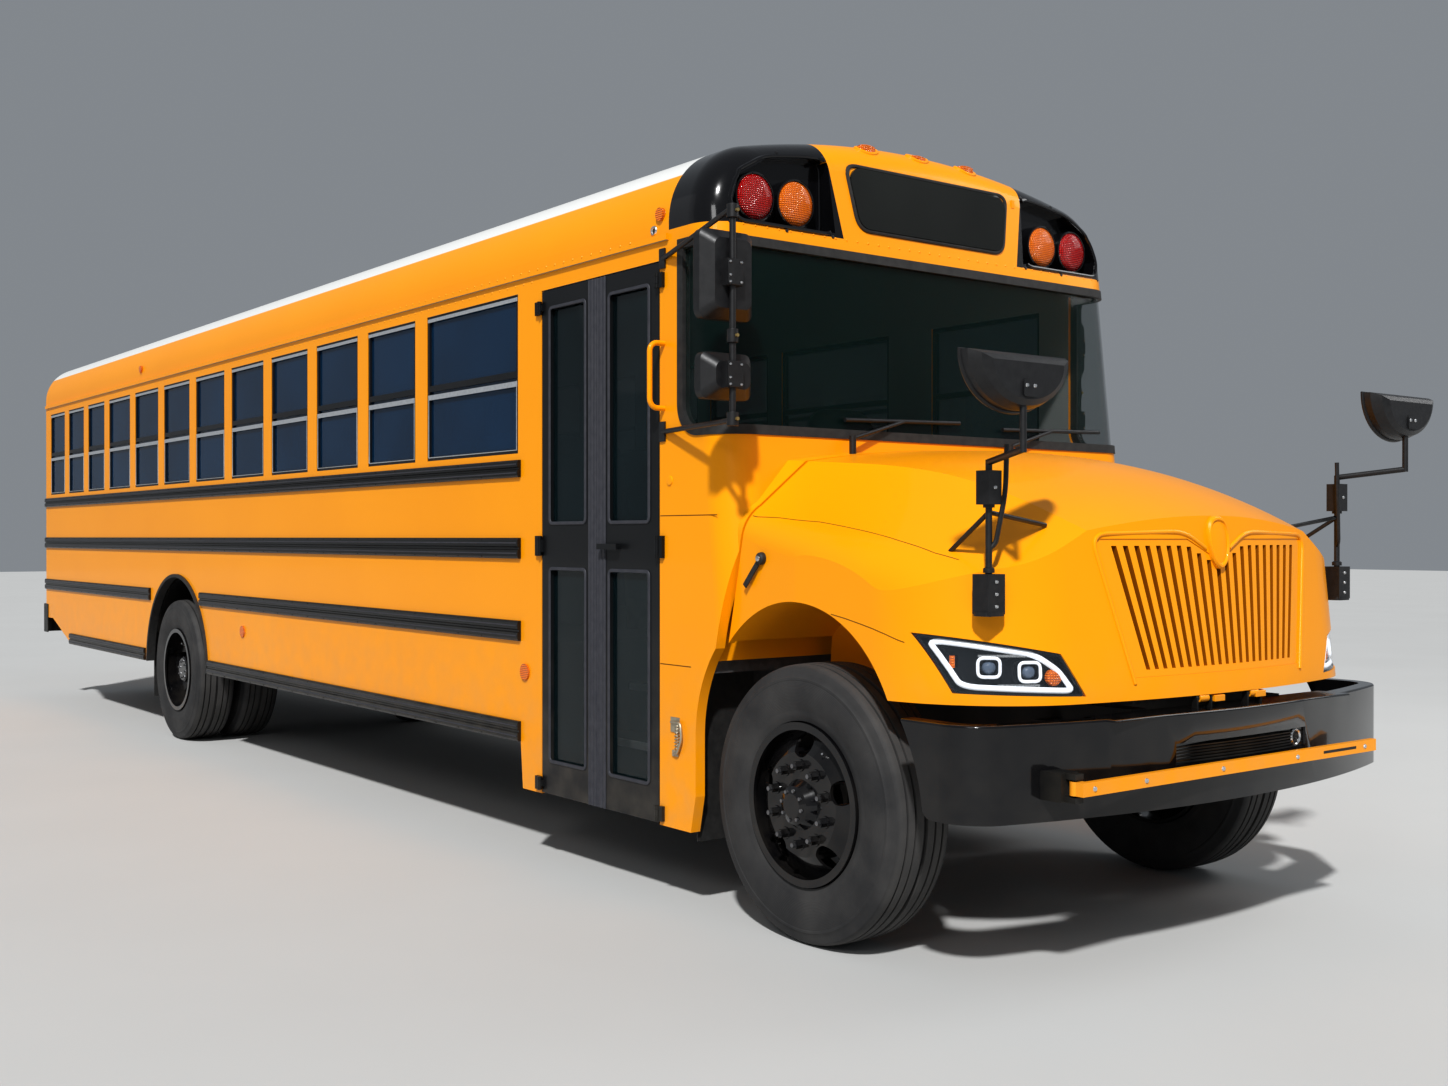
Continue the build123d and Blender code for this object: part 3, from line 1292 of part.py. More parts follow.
# Wipers: the pivots stand on the cowl top and the blades rest against the glass
wiper_pivots = [-600, 330]
wiper_reach = 330
wiper_z = 1960
wiper_blade_radius = 9
with BuildPart() as wipers:
    pivot_x = nose_x_at(windshield_bottom_z) + 46
    blade_x = nose_x_at(wiper_z) + wiper_blade_radius
    for pivot_y in wiper_pivots:
        upright(pivot_x, pivot_y, 14, hood_seam_z, windshield_bottom_z + 10)
        arm_end = (blade_x, pivot_y + wiper_reach, wiper_z)
        tube((pivot_x, pivot_y, windshield_bottom_z), arm_end, 8)
        blade_start = (blade_x, pivot_y, wiper_z - 8)
        blade_end = (blade_x, pivot_y + 2 * wiper_reach, wiper_z + 8)
        tube(blade_start, blade_end, wiper_blade_radius)
    add(hood_outer, mode=Mode.SUBTRACT)
save(wipers, "wipers")

# Crossing arm along the front bumper, on an upright hinge at its right end
arm_hinge_y = -920
arm_hinge_x = front_axle_x + 1078
arm_front_x = front_axle_x + front_overhang
arm_z = 690
arm_length = 1700
arm_thick = 22
arm_height = 44
with BuildPart() as crossing_arm:
    upright(arm_hinge_x, arm_hinge_y, 20, arm_z - 22, arm_z + 22)
    box(arm_hinge_x, arm_front_x, arm_hinge_y - 16, arm_hinge_y + 20, arm_z - 22, arm_z + 22)
    box(arm_front_x - arm_thick, arm_front_x, arm_hinge_y - 16, arm_hinge_y + arm_length,
        arm_z - arm_height / 2, arm_z + arm_height / 2)
    upright(arm_hinge_x, arm_hinge_y, 8 + hinge_fit, arm_z - 60, arm_z + 60, mode=Mode.SUBTRACT)
save(crossing_arm, "crossing_arm")

# Stop arm on the left wall, a blank eight-sided sign on an upright hinge at its front edge
stop_hinge_x = door_rear_x - 350
stop_z = 1600
stop_across = 450
stop_hinge_y = body_half + 62
with BuildPart() as stop_arm:
    with BuildSketch(Plane.XZ.offset(-stop_hinge_y - 6)) as sign_face:
        with Locations((stop_hinge_x - 60 - stop_across / 2, stop_z)):
            RegularPolygon(stop_across / 2, 8, major_radius=False, rotation=22.5)
    extrude(sign_face.sketch, amount=12)
    for z in (stop_z - 100, stop_z + 60):
        box(stop_hinge_x - 120, stop_hinge_x, stop_hinge_y - 6, stop_hinge_y + 6, z, z + 40)
        upright(stop_hinge_x, stop_hinge_y, 16, z, z + 40)
        upright(stop_hinge_x, stop_hinge_y, 8 + hinge_fit, z, z + 40, mode=Mode.SUBTRACT)
save(stop_arm, "stop_arm")

# Hinge pins, lugs and brackets that the moving pieces hang on
with BuildPart() as hinges:
    add(door_hinges.part)
    add(rear_door_hinges.part)
    add(hood_hinges.part)
    box(bumper_front_x - 120, arm_hinge_x - 26, arm_hinge_y - 40, arm_hinge_y + 40, arm_z - 46, arm_z + 46)
    for z0, z1 in ((arm_z - 46, arm_z - 28), (arm_z + 28, arm_z + 46)):
        box(arm_hinge_x - 30, arm_hinge_x + 14, arm_hinge_y - 20, arm_hinge_y + 20, z0, z1)
    upright(arm_hinge_x, arm_hinge_y, 8, arm_z - 46, arm_z + 46)
    add(bumper_form(-fit_gap), mode=Mode.SUBTRACT)
    for z in (stop_z - 100, stop_z + 60):
        upright(stop_hinge_x, stop_hinge_y, 8, z - 22, z + 62)
        for z0 in (z - 22, z + 46):
            box(stop_hinge_x - 20, stop_hinge_x + 20, body_half, stop_hinge_y + 12, z0, z0 + 16)
save(hinges, "hinges")

# Roof hatches on their curbs, hinged at the rear edge
for name, x in zip(("roof_hatch_front", "roof_hatch_rear"), hatch_places):
    with BuildPart() as hatch:
        half = hatch_cover / 2
        lid_z = curb_top_z + fit_gap
        box(x - half, x + half, -half, half, lid_z, lid_z + hatch_thick)
        chamfer(hatch.faces().sort_by(Axis.Z)[-1].edges(), length=14)
        for side in (-1, 1):
            y0, y1 = sorted((side * (hatch_hinge_y - 50), side * (hatch_hinge_y - 6)))
            hinge_x = x - hatch_cover / 2 - hatch_hinge_offset
            box(hinge_x, x - hatch_cover / 2 + 10, y0, y1, hatch_hinge_z - 6, hatch_hinge_z + 6)
            cross_cylinder(hinge_x, hatch_hinge_z, hinge_sleeve_radius, y0, y1)
            cross_cylinder(hinge_x, hatch_hinge_z, hinge_pin_radius + hinge_fit, y0, y1, mode=Mode.SUBTRACT)
    save(hatch, name)

# Seats: two columns of benches with high backs on aisle legs and wall rails
seat_pitch = 700
seat_rows = 12
seat_front_x = door_rear_x - 300
seat_inner_y = 195
seat_outer_y = 1120
seat_depth = 420
seat_base_z = 1340
seat_top_z = 1440
seat_back_rake = 90
seat_back_thick = 80
seat_back_top_z = 2010
seat_leg_thick = 40


def seat_plates(points, inner_y, outer_y):
    for side in (-1, 1):
        y0, y1 = sorted((side * inner_y, side * outer_y))
        for row in range(seat_rows):
            front = seat_front_x - row * seat_pitch
            side_plate([(front - x, z) for x, z in points], y0, y1)


with BuildPart() as seat_cushions:
    cushion = [(0, seat_base_z), (0, seat_top_z), (seat_depth, seat_top_z - 15), (seat_depth, seat_base_z)]
    seat_plates(cushion, seat_inner_y, seat_outer_y)
save(seat_cushions, "seat_cushions")

with BuildPart() as seat_backs:
    back = [(seat_depth, seat_base_z), (seat_depth + seat_back_rake, seat_back_top_z),
            (seat_depth + seat_back_rake + seat_back_thick, seat_back_top_z),
            (seat_depth + seat_back_thick, seat_base_z)]
    seat_plates(back, seat_inner_y, seat_outer_y)
save(seat_backs, "seat_backs")

with BuildPart() as seat_frames:
    leg = [(60, seat_base_z), (seat_depth - 20, seat_base_z), (seat_depth - 60, floor_z), (100, floor_z)]
    seat_plates(leg, seat_inner_y + 60, seat_inner_y + 60 + seat_leg_thick)
    for side in (-1, 1):
        y0, y1 = sorted((side * seat_outer_y, side * (body_half - body_wall)))
        box(seat_front_x - seat_pitch * seat_rows, seat_front_x, y0, y1, seat_base_z, seat_base_z + 40)
save(seat_frames, "seat_frames")

# Driver's place: dash, steering wheel on its column and the driver's seat
driver_y = 560
driver_half = 240
driver_seat_x = firewall_x - 700
driver_seat_z = 1380
steering_wheel = (firewall_x - 430, driver_y, 1770)
steering_wheel_radius = 230
with BuildPart() as driver_station:
    dash = [(firewall_x, 1500), (firewall_x, 1770), (firewall_x - 100, 1840), (firewall_x - 260, 1800),
            (firewall_x - 220, 1500)]
    side_plate(dash, -1050, 1050)
    tube((firewall_x - 230, driver_y, 1640), steering_wheel, 26)
    with BuildSketch(Plane(origin=steering_wheel, z_dir=(-0.45, 0, 0.9))) as steering_rim:
        Circle(steering_wheel_radius)
        Circle(steering_wheel_radius - 28, mode=Mode.SUBTRACT)
        Rectangle(2 * steering_wheel_radius - 40, 36)
    extrude(steering_rim.sketch, amount=22)
    y0 = driver_y - driver_half
    y1 = driver_y + driver_half
    box(driver_seat_x - 450, driver_seat_x, y0, y1, driver_seat_z, driver_seat_z + 120)
    back = [(driver_seat_x - 380, driver_seat_z + 120), (driver_seat_x - 450, driver_seat_z + 770),
            (driver_seat_x - 560, driver_seat_z + 770), (driver_seat_x - 480, driver_seat_z),
            (driver_seat_x - 380, driver_seat_z)]
    side_plate(back, y0, y1)
    box(driver_seat_x - 350, driver_seat_x - 100, driver_y - 150, driver_y + 150, floor_z, driver_seat_z)
save(driver_station, "driver_station")

# Handrails: the entrance rail inside and the yellow grab handle by the door
grab_x = door_front_x + 30
grab_reach = 70
grab_z = (1995, 2255)
grab_radius = 11
rail_x = door_front_x - 90
rail_foot_y = -1090
rail_post_y = -step_well_inner_y + 20
rail_radius = 16


def bent_tube(points, bend_radius, radius):
    with BuildLine() as path:
        FilletPolyline(*points, radius=bend_radius)
    with BuildSketch(path.line ^ 0) as section:
        Circle(radius)
    sweep(section.sketch, path=path.line)


with BuildPart() as handrails:
    grab_y = -body_half - grab_reach
    bent_tube([(grab_x, -body_half, grab_z[0]), (grab_x, grab_y, grab_z[0]), (grab_x, grab_y, grab_z[1]),
               (grab_x, -body_half, grab_z[1])], 36, grab_radius)
    bent_tube([(door_front_x - well_skin, rail_foot_y, 900), (rail_x, rail_foot_y, 900),
               (rail_x, rail_post_y, 1780), (rail_x, rail_post_y, floor_z)], 45, rail_radius)
save(handrails, "handrails")

# Engine, gearbox, radiator, exhaust and fuel tank, all plain
powertrain_blocks = [
    # rear and front from the front axle, half width, bottom, top
    (-290, 620, 330, 760, 1440),
    (620, 760, 140, 950, 1200),
    (760, 830, 430, rail_top_z, 1420),
    (-620, -290, 200, 700, 930),
]
exhaust_y = 205
exhaust_z = 560
exhaust_front_x = front_axle_x - 500
pipe_radius = 45
exhaust_runs = [
    # front and rear from the exhaust's front end, radius
    (40, -1000, pipe_radius),
    (-1000, -2000, 130),
    (-2000, -6000, pipe_radius),
]
with BuildPart() as powertrain:
    for rear, front, half, z0, z1 in powertrain_blocks:
        box(front_axle_x + rear, front_axle_x + front, -half, half, z0, z1)
    upright(exhaust_front_x, exhaust_y, pipe_radius, exhaust_z - pipe_radius, 720)
    for front, rear, radius in exhaust_runs:
        start = (exhaust_front_x + front, exhaust_y, exhaust_z)
        tube(start, (exhaust_front_x + rear, exhaust_y, exhaust_z), radius)
save(powertrain, "powertrain")

tank_half = rail_y + rail_web - rail_flange - 12
tank_rear_x = rear_axle_x - 2500
tank_length = 1300
tank_strap_z = rail_bottom_z + 174
with BuildPart() as fuel_tank:
    box(tank_rear_x, tank_rear_x + tank_length, -tank_half, tank_half, 460, tank_strap_z + 6)
    fillet(fuel_tank.edges().filter_by(Axis.X), radius=60)
    for x in (tank_rear_x + 100, tank_rear_x + tank_length - 100):
        box(x - 30, x + 30, -rail_y, rail_y, tank_strap_z, tank_strap_z + 10)
save(fuel_tank, "fuel_tank")
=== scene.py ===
import math
from functools import partialmethod

import bmesh
import bpy
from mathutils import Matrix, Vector
from mathutils.bvhtree import BVHTree


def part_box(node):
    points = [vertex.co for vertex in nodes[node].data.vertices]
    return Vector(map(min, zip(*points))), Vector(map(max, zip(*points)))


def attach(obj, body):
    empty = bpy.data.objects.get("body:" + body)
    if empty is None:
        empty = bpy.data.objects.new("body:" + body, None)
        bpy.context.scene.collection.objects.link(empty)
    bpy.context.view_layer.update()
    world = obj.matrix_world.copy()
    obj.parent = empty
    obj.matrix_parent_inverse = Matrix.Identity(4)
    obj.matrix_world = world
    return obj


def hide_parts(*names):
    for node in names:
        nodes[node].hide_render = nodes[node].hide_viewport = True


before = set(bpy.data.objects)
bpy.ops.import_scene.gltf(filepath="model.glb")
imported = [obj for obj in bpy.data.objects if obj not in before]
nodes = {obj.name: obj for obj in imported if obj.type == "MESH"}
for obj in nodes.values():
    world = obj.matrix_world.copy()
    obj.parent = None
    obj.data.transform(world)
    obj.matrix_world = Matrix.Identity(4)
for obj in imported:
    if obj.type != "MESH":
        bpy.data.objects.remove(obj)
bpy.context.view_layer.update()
print("stage: frame loaded")

# Places that several pieces share, in metres
bus = {
    "frontAxle": 4.890, "rearAxle": -2.120, "axleZ": 0.510,
    "wall": 1.1995,  # just inside the outer face of the side walls
    "rails": [(1.756, 1.836), (1.380, 1.476), (1.000, 1.093), (0.536, 0.629)],
    "ahead": 8.0, "beforeCap": 6.4, "beside": 3.0,  # where rays start, clear of the bus
}
hands = {"right": -1, "left": 1}
sides = tuple(hands.values())


# One shader socket as a value, so that a pattern reads as plain arithmetic
class Val:
    def __init__(self, look, socket):
        self.look = look
        self.socket = socket

    def maths(self, operation, *others):
        return self.look.node("ShaderNodeMath", {"operation": operation}, dict(enumerate((self, *others))))

    __add__ = __radd__ = partialmethod(maths, "ADD")
    __sub__ = partialmethod(maths, "SUBTRACT")
    __mul__ = partialmethod(maths, "MULTIPLY")
    __truediv__ = partialmethod(maths, "DIVIDE")
    size = partialmethod(maths, "ABSOLUTE")

    def __rsub__(self, other):
        return self.look.node("ShaderNodeMath", {"operation": "SUBTRACT"}, {0: other, 1: self})

    def ramp(self, low, high):  # 0 at low, 1 at high
        return ((self - low) / (high - low)).maths("MAXIMUM", 0.0).maths("MINIMUM", 1.0)


class Look:
    def __init__(self, name):
        self.material = bpy.data.materials.new(name)
        self.material.use_nodes = True
        self.tree = self.material.node_tree
        self.shader = self.tree.nodes["Principled BSDF"]
        self.place = self.node("ShaderNodeTexCoord", output="Object")
        self.facing = self.node("ShaderNodeTexCoord", output="Normal")
        self.x, self.y, self.z = self.parts(self.place)

    # Any node: its type, its settings, then the values or links of its sockets
    def node(self, kind, settings=None, sockets=None, output=0):
        made = self.tree.nodes.new(kind)
        for name, value in (settings or {}).items():
            setattr(made, name, value)
        for name, value in (sockets or {}).items():
            self.plug(value, made.inputs[name])
        return Val(self, made.outputs[output])

    def plug(self, value, socket):
        if isinstance(value, Val):
            self.tree.links.new(value.socket, socket)
        elif socket.type == "RGBA":
            socket.default_value = (*value, 1.0)
        else:
            socket.default_value = value

    def parts(self, vector):
        split = self.node("ShaderNodeSeparateXYZ", None, {0: vector}).socket.node
        return [Val(self, out) for out in split.outputs]

    def noise(self, scale, detail=3.0):
        return self.node("ShaderNodeTexNoise", None, {"Vector": self.place, "Scale": scale, "Detail": detail})

    def cells(self, scale):
        return self.node("ShaderNodeTexVoronoi", None, {"Vector": self.place, "Scale": scale})

    def mix(self, share, first, second):
        return self.node("ShaderNodeMix", {"data_type": "RGBA"}, {"Factor": share, "A": first, "B": second},
                         "Result")

    def set(self, **sockets):
        for name, value in sockets.items():
            self.plug(value, self.shader.inputs[name.replace("_", " ")])

    def bump(self, height, strength, distance):
        self.set(Normal=self.node("ShaderNodeBump", None, {"Height": height, "Strength": strength,
                                                           "Distance": distance}))


def paint(name, base, shade, rough, coat, dust=0.0, inner=None, top=None, flankShade=None):
    look = Look(name)
    colour = look.mix(look.noise(0.8, 4.0).ramp(0.3, 0.75), base, shade)
    if top:  # another colour on what faces up, and above this height, inside this half width
        upward = look.parts(look.facing)[2].ramp(0.3, 0.4)
        upward = upward.maths("MAXIMUM", look.z.ramp(top["height"], top["height"] + 0.001))
        edge = (1 - look.y.size().ramp(top["half"], top["half"] + 0.004)) * upward
        colour = look.mix(edge, colour, top["colour"])
    if dust:
        share = (1 - (look.z - 0.35).ramp(0.0, 0.8)) * look.noise(9.0, 5.0).ramp(0.35, 0.75) * dust
        colour = look.mix(share, colour, (0.30, 0.26, 0.20))
    if flankShade:  # painted shade: a darker colour on the sideways-facing flanks of the grille slats
        colour = look.mix(look.parts(look.facing)[1].size().ramp(0.5, 0.8), colour, flankShade)
    if inner:  # the side that faces the cabin
        _, ny, nz = look.parts(look.facing)
        inward = ny * look.y + nz * (look.z - 2.2).ramp(0.0, 1.0)
        colour = look.mix(1 - inward.ramp(-0.30, -0.20), colour, inner)
    look.set(Base_Color=colour, Roughness=rough + look.noise(55.0, 2.0) * 0.05, Coat_Weight=coat,
             Coat_Roughness=0.05, Specular_IOR_Level=0.2)
    look.bump(look.noise(2.2, 2.0) + look.noise(380.0, 1.0) * 0.03, 0.22, 0.004)
    return look.material


def moulded(name, base, shade, rough, scale, depth, metal=0.0):
    look = Look(name)
    look.set(Base_Color=look.mix(look.noise(scale, 4.0).ramp(0.3, 0.7), base, shade),
             Roughness=rough + look.noise(scale * 3.0) * 0.14, Metallic=metal)
    look.bump(look.noise(scale * 6.0, 3.0), 0.5, depth)
    return look.material


def vinyl(name, base, shade, grain):
    look = Look(name)
    wear = look.noise(3.0, 4.0).ramp(0.45, 0.8)
    look.set(Base_Color=look.mix(wear, base, shade), Roughness=0.42 + look.noise(20.0) * 0.15)
    look.bump(look.cells(grain) + look.noise(12.0, 2.0) * 2.0, 0.5, 0.0012)
    return look.material


def glass(name, tint, alpha, rough=0.02):
    look = Look(name)
    look.set(Base_Color=look.mix(look.noise(1.2, 3.0).ramp(0.3, 0.7), tint, tuple(c * 1.8 for c in tint)),
             Roughness=rough + look.noise(3.0, 4.0) * 0.03, Alpha=alpha + look.noise(0.9) * 0.06)
    look.bump(look.noise(1.1, 1.0), 0.08, 0.002)
    return look.material


def lens(name, base, shade, pitch=0.017):  # small pillows, this far apart
    look = Look(name)
    step = 2 * math.pi / pitch
    pillow = ((look.y * step).maths("SINE") * (look.z * step).maths("SINE")).size()
    look.set(Base_Color=look.mix(pillow.ramp(0.0, 0.9), shade, base), Roughness=0.14 + look.noise(40.0) * 0.05,
             Coat_Weight=0.3)
    look.bump(pillow, 0.8, 0.005)
    return look.material


def tyreRubber(name, axleX):
    look = Look(name)
    across = look.x - axleX
    above = look.z - bus["axleZ"]
    reach = (across * across + above * above).maths("SQRT")
    rings = (reach * 1250.0).maths("SINE")
    wall = reach.ramp(0.345, 0.352) * (1 - reach.ramp(0.445, 0.45))
    dust = look.noise(5.0, 6.0).ramp(0.38, 0.8)
    rolled = reach.ramp(0.497, 0.506)
    colour = look.mix(dust * 0.55 + rolled * 0.35, (0.020, 0.020, 0.021), (0.082, 0.078, 0.074))
    look.set(Base_Color=colour, Roughness=0.66 + look.noise(30.0) * 0.2)
    look.bump(rings * wall * 0.3 + look.noise(95.0, 3.0) * 0.5, 0.45, 0.002)
    return look.material


def glowing(name, colour, power):
    look = Look(name)
    look.set(Base_Color=look.mix(look.noise(30.0), colour, tuple(c * 0.9 for c in colour)),
             Roughness=0.25 + look.noise(60.0) * 0.05, Emission_Color=colour, Emission_Strength=power)
    return look.material


yellow = (0.930, 0.342, 0.001), (0.885, 0.316, 0.001), 0.32
cabinGrey = (0.30, 0.32, 0.31)
white = (0.80, 0.80, 0.78)
mats = {
    "yellow": paint("schoolYellow", *yellow, 0.18, 0.22),
    "wall": paint("wallYellow", *yellow, 0.18, 0.22, inner=cabinGrey),
    "roof": paint("roofYellow", *yellow, 0.18, inner=cabinGrey,
                  top={"half": 1.130, "height": 3.125, "colour": white}),
    "slats": paint("slatYellow", *yellow, 0.6, flankShade=(0.30, 0.085, 0.002)),
    "roofWhite": paint("roofWhite", white, (0.70, 0.70, 0.68), 0.4, 0.2),
    "signWhite": paint("signWhite", (0.82, 0.82, 0.80), (0.76, 0.76, 0.74), 0.35, 0.2),
    "signRed": paint("signRed", (0.56, 0.012, 0.012), (0.48, 0.010, 0.010), 0.35, 0.4),
    # dark strips: real joints on the cowl seams, painted shade along the hood creases
    "seam": paint("seamShadow", (0.16, 0.06, 0.004), (0.10, 0.04, 0.003), 0.6, 0.0),
    "blackGloss": paint("blackGloss", (0.003, 0.003, 0.004), (0.006, 0.006, 0.007), 0.14, 0.6, 0.05),
    "blackSatin": paint("blackSatin", (0.006, 0.006, 0.006), (0.011, 0.011, 0.011), 0.42, 0.1, 0.10),
    "rail": paint("railBlack", (0.005, 0.005, 0.005), (0.010, 0.010, 0.010), 0.34, 0.25, 0.12),
    "doorBlack": paint("doorBlack", (0.007, 0.008, 0.009), (0.012, 0.012, 0.013), 0.36, 0.15, 0.12),
    "under": moulded("underBlack", (0.018, 0.018, 0.018), (0.045, 0.040, 0.035), 0.6, 5.0, 0.002),
    "cast": moulded("castBlack", (0.03, 0.03, 0.03), (0.07, 0.06, 0.05), 0.62, 14.0, 0.002, 0.4),
    "plastic": moulded("mouldedBlack", (0.007, 0.007, 0.008), (0.014, 0.014, 0.015), 0.38, 40.0, 0.0006),
    "rubber": moulded("sealRubber", (0.012, 0.012, 0.012), (0.026, 0.025, 0.024), 0.55, 30.0, 0.0008),
    # pale grey rubber of the door seals, also used as painted highlight on the rail beads and the pane frames
    "greyRubber": moulded("edgeRubberAndHighlight", (0.030, 0.031, 0.040), (0.046, 0.047, 0.056), 0.50, 30.0, 0.0008),
    "alu": moulded("sashAluminium", (0.52, 0.54, 0.56), (0.66, 0.68, 0.70), 0.30, 60.0, 0.0003, 0.7),
    "steel": moulded("brightSteel", (0.62, 0.62, 0.62), (0.76, 0.76, 0.76), 0.20, 25.0, 0.0003, 1.0),
    "nutSteel": moulded("nutSteel", (0.17, 0.17, 0.18), (0.26, 0.26, 0.27), 0.26, 25.0, 0.0003, 0.9),
    "brass": moulded("brassFitting", (0.55, 0.40, 0.16), (0.66, 0.50, 0.22), 0.30, 25.0, 0.0003, 1.0),
    "zinc": moulded("zincPlate", (0.42, 0.38, 0.3), (0.56, 0.5, 0.38), 0.4, 35.0, 0.0005, 0.9),
    "mirror": moulded("mirrorGlass", (0.80, 0.82, 0.84), (0.86, 0.88, 0.90), 0.04, 2.0, 0.0001, 1.0),
    "floor": moulded("floorRubber", (0.05, 0.05, 0.052), (0.08, 0.08, 0.08), 0.7, 30.0, 0.001),
    "nosing": moulded("stepNosing", (0.60, 0.62, 0.62), (0.72, 0.74, 0.74), 0.45, 30.0, 0.0008),
    "vinyl": vinyl("seatVinyl", (0.010, 0.018, 0.045), (0.020, 0.032, 0.070), 260.0),
    "driverCloth": vinyl("driverCloth", (0.020, 0.021, 0.024), (0.040, 0.042, 0.046), 420.0),
    "windscreen": glass("windscreenGlass", (0.003, 0.014, 0.012), 0.22),
    # blue tint of the side windows, partly a painted reflection of the sky
    "windowGlass": glass("tintAndSkyGlass", (0.002, 0.017, 0.044), 0.78),
    "doorGlass": glass("doorGlass", (0.004, 0.010, 0.012), 0.52),
    "darkGlass": glass("darkGlass", (0.010, 0.011, 0.010), 0.92),
    "clearLens": glass("clearLens", (0.20, 0.24, 0.28), 0.04, 0.01),
    "projector": glass("projectorLens", (0.10, 0.13, 0.18), 0.75, 0.01),
    "led": glowing("ledTube", (0.90, 0.94, 1.0), 0.22),
    "red": lens("redLens", (0.58, 0.002, 0.002), (0.16, 0.001, 0.001)),
    "amber": lens("amberLens", (0.95, 0.22, 0.002), (0.50, 0.085, 0.001)),
    "tyreFront": tyreRubber("tyreRubberFront", bus["frontAxle"]),
    "tyreRear": tyreRubber("tyreRubberRear", bus["rearAxle"]),
}

# The finish of each solid that stays visible, or that a piece stands for
nodeFinish = {
    "yellow": "rear_wall hood rear_door crossing_arm handrails",
    "wall": "right_wall left_wall front_cap cowl",
    "slats": "grille",
    "roof": "roof",
    "blackGloss": "lamp_housings front_bumper rim_front_right rim_front_left rims_rear_right rims_rear_left",
    "blackSatin": "rear_bumper wheel_housings fuel_tank hinges",
    "rail": "rub_rails",
    "doorBlack": "door_front_leaf door_rear_leaf window_frames",
    "under": "chassis_frame leaf_springs powertrain",
    "cast": "front_axle rear_axle knuckle_right knuckle_left tie_rod",
    "plastic": "side_mirrors crossview_mirrors wipers driver_station",
    "rubber": "rubber_parts",
    "floor": "floor step_well",
    "vinyl": "seat_cushions seat_backs",
    "zinc": "seat_frames",
    "windscreen": "windshield",
    "windowGlass": "window_glass rear_door_glass",
    "doorGlass": "door_front_glass door_rear_glass",
    "darkGlass": "sign_window",
    "clearLens": "headlamps",
    "red": "red_lamps",
    "signRed": "stop_arm",
    "amber": "amber_lamps",
    "roofWhite": "roof_hatch_front roof_hatch_rear",
    "tyreFront": "tyre_front_right tyre_front_left",
    "tyreRear": "tyres_rear_right tyres_rear_left",
}
for finish, names in nodeFinish.items():
    for name in names.split():
        mesh = nodes[name].data
        mesh.materials.clear()
        mesh.materials.append(mats[finish])
print("stage: materials")

surfaces = {}


# Where a ray first meets one or more CAD nodes: a list of the point with its outward normal, or an empty one
def present(names, start, way):
    if names not in surfaces:
        points, faces = [], []
        for name in [names] if isinstance(names, str) else names:
            mesh, first = nodes[name].data, len(points)
            points += [v.co.copy() for v in mesh.vertices]
            faces += [[first + v for v in face.vertices] for face in mesh.polygons]
        surfaces[names] = BVHTree.FromPolygons(points, faces)
    way = Vector(way).normalized()
    spot, normal, _, _ = surfaces[names].ray_cast(Vector(start), way)
    return [] if spot is None else [(spot, normal if normal.dot(way) < 0 else -normal)]


def hit(names, start, way):  # the same, where there has to be a surface
    found = present(names, start, way)
    if not found:
        raise RuntimeError(f"no surface of {names} under {tuple(start)}")
    return found[0]


def ahead(names, y, z):  # from in front of the bus
    return hit(names, (bus["ahead"], y, z), (-1, 0, 0))


def beside(names, x, z, side):  # from beside the bus
    return present(names, (x, side * bus["beside"], z), (0, -side, 0))


def circle(radius, count, squash=1.0):
    turn = 2 * math.pi / count
    return [(radius * math.cos(i * turn), radius * squash * math.sin(i * turn)) for i in range(count)]


def oblong(half, rise):  # a flat section, by its half width and half height
    return [(-half, -rise), (half, -rise), (half, rise), (-half, rise)]


# The corners of a rectangle across one axis, in turn
def pane(axis, place, a0, a1, b0, b1):
    corners = [[a0, b0], [a1, b0], [a1, b1], [a0, b1]]
    for corner in corners:
        corner.insert(axis, place)
    return corners


def rounded(path, radius, steps=5, closed=False):
    points = [Vector(p) for p in path]
    made = []
    for i, here in enumerate(points):
        if not closed and i in (0, len(points) - 1):
            made.append(here)
            continue
        before, after = points[i - 1], points[(i + 1) % len(points)]
        trim = min(radius, (before - here).length * 0.48, (after - here).length * 0.48)
        start = here + (before - here).normalized() * trim
        end = here + (after - here).normalized() * trim
        for k in range(steps + 1):
            t = k / steps
            made.append(start.lerp(here, t).lerp(here.lerp(end, t), t))
    return made


def plaque(axis, place, middle, half, radius, steps):  # a rounded rectangle by its middle and half sizes
    (a, b), (wide, rise) = middle, half
    return rounded(pane(axis, place, a - wide, a + wide, b - rise, b + rise), radius, steps, True)


def skin(bm, rings, look, closed=False, capped=True):
    pairs = list(zip(rings, rings[1:])) + ([(rings[-1], rings[0])] if closed else [])
    for low, high in pairs:
        count = max(len(low), len(high))
        for i in range(count):
            j = (i + 1) % count
            corners = [low[i % len(low)], low[j % len(low)], high[j % len(high)], high[i % len(high)]]
            corners = [v for k, v in enumerate(corners) if v not in corners[:k]]
            if len(corners) > 2:
                bm.faces.new(corners).material_index = look
    if capped and not closed:
        for end in (rings[0], rings[-1]):
            if len(end) > 2:
                bm.faces.new(end).material_index = look


def sweep(bm, path, section, up=None, closed=False, look=0):
    points = [Vector(p) for p in path]
    rings = []
    lift = None
    for i, here in enumerate(points):
        ways = []
        if i or closed:
            ways.append((here - points[i - 1]).normalized())
        if i < len(points) - 1 or closed:
            ways.append((points[(i + 1) % len(points)] - here).normalized())
        way = sum(ways, Vector()).normalized()
        if up is not None:
            lift = Vector(up[i]) if isinstance(up, list) else Vector(up)
        elif lift is None:
            lift = way.orthogonal()
        lift = (lift - way * lift.dot(way)).normalized()
        side = way.cross(lift)
        stretch = 1 / max(0.5, way.dot(ways[-1]))  # a mitre where the path turns
        rings.append([bm.verts.new(here + side * a * stretch + lift * b) for a, b in section])
    skin(bm, rings, look, closed)


def trace(bm, spots, section, closed=False, look=0):  # a sweep along points that have normals
    sweep(bm, [p for p, _ in spots], section, [n for _, n in spots], closed, look)


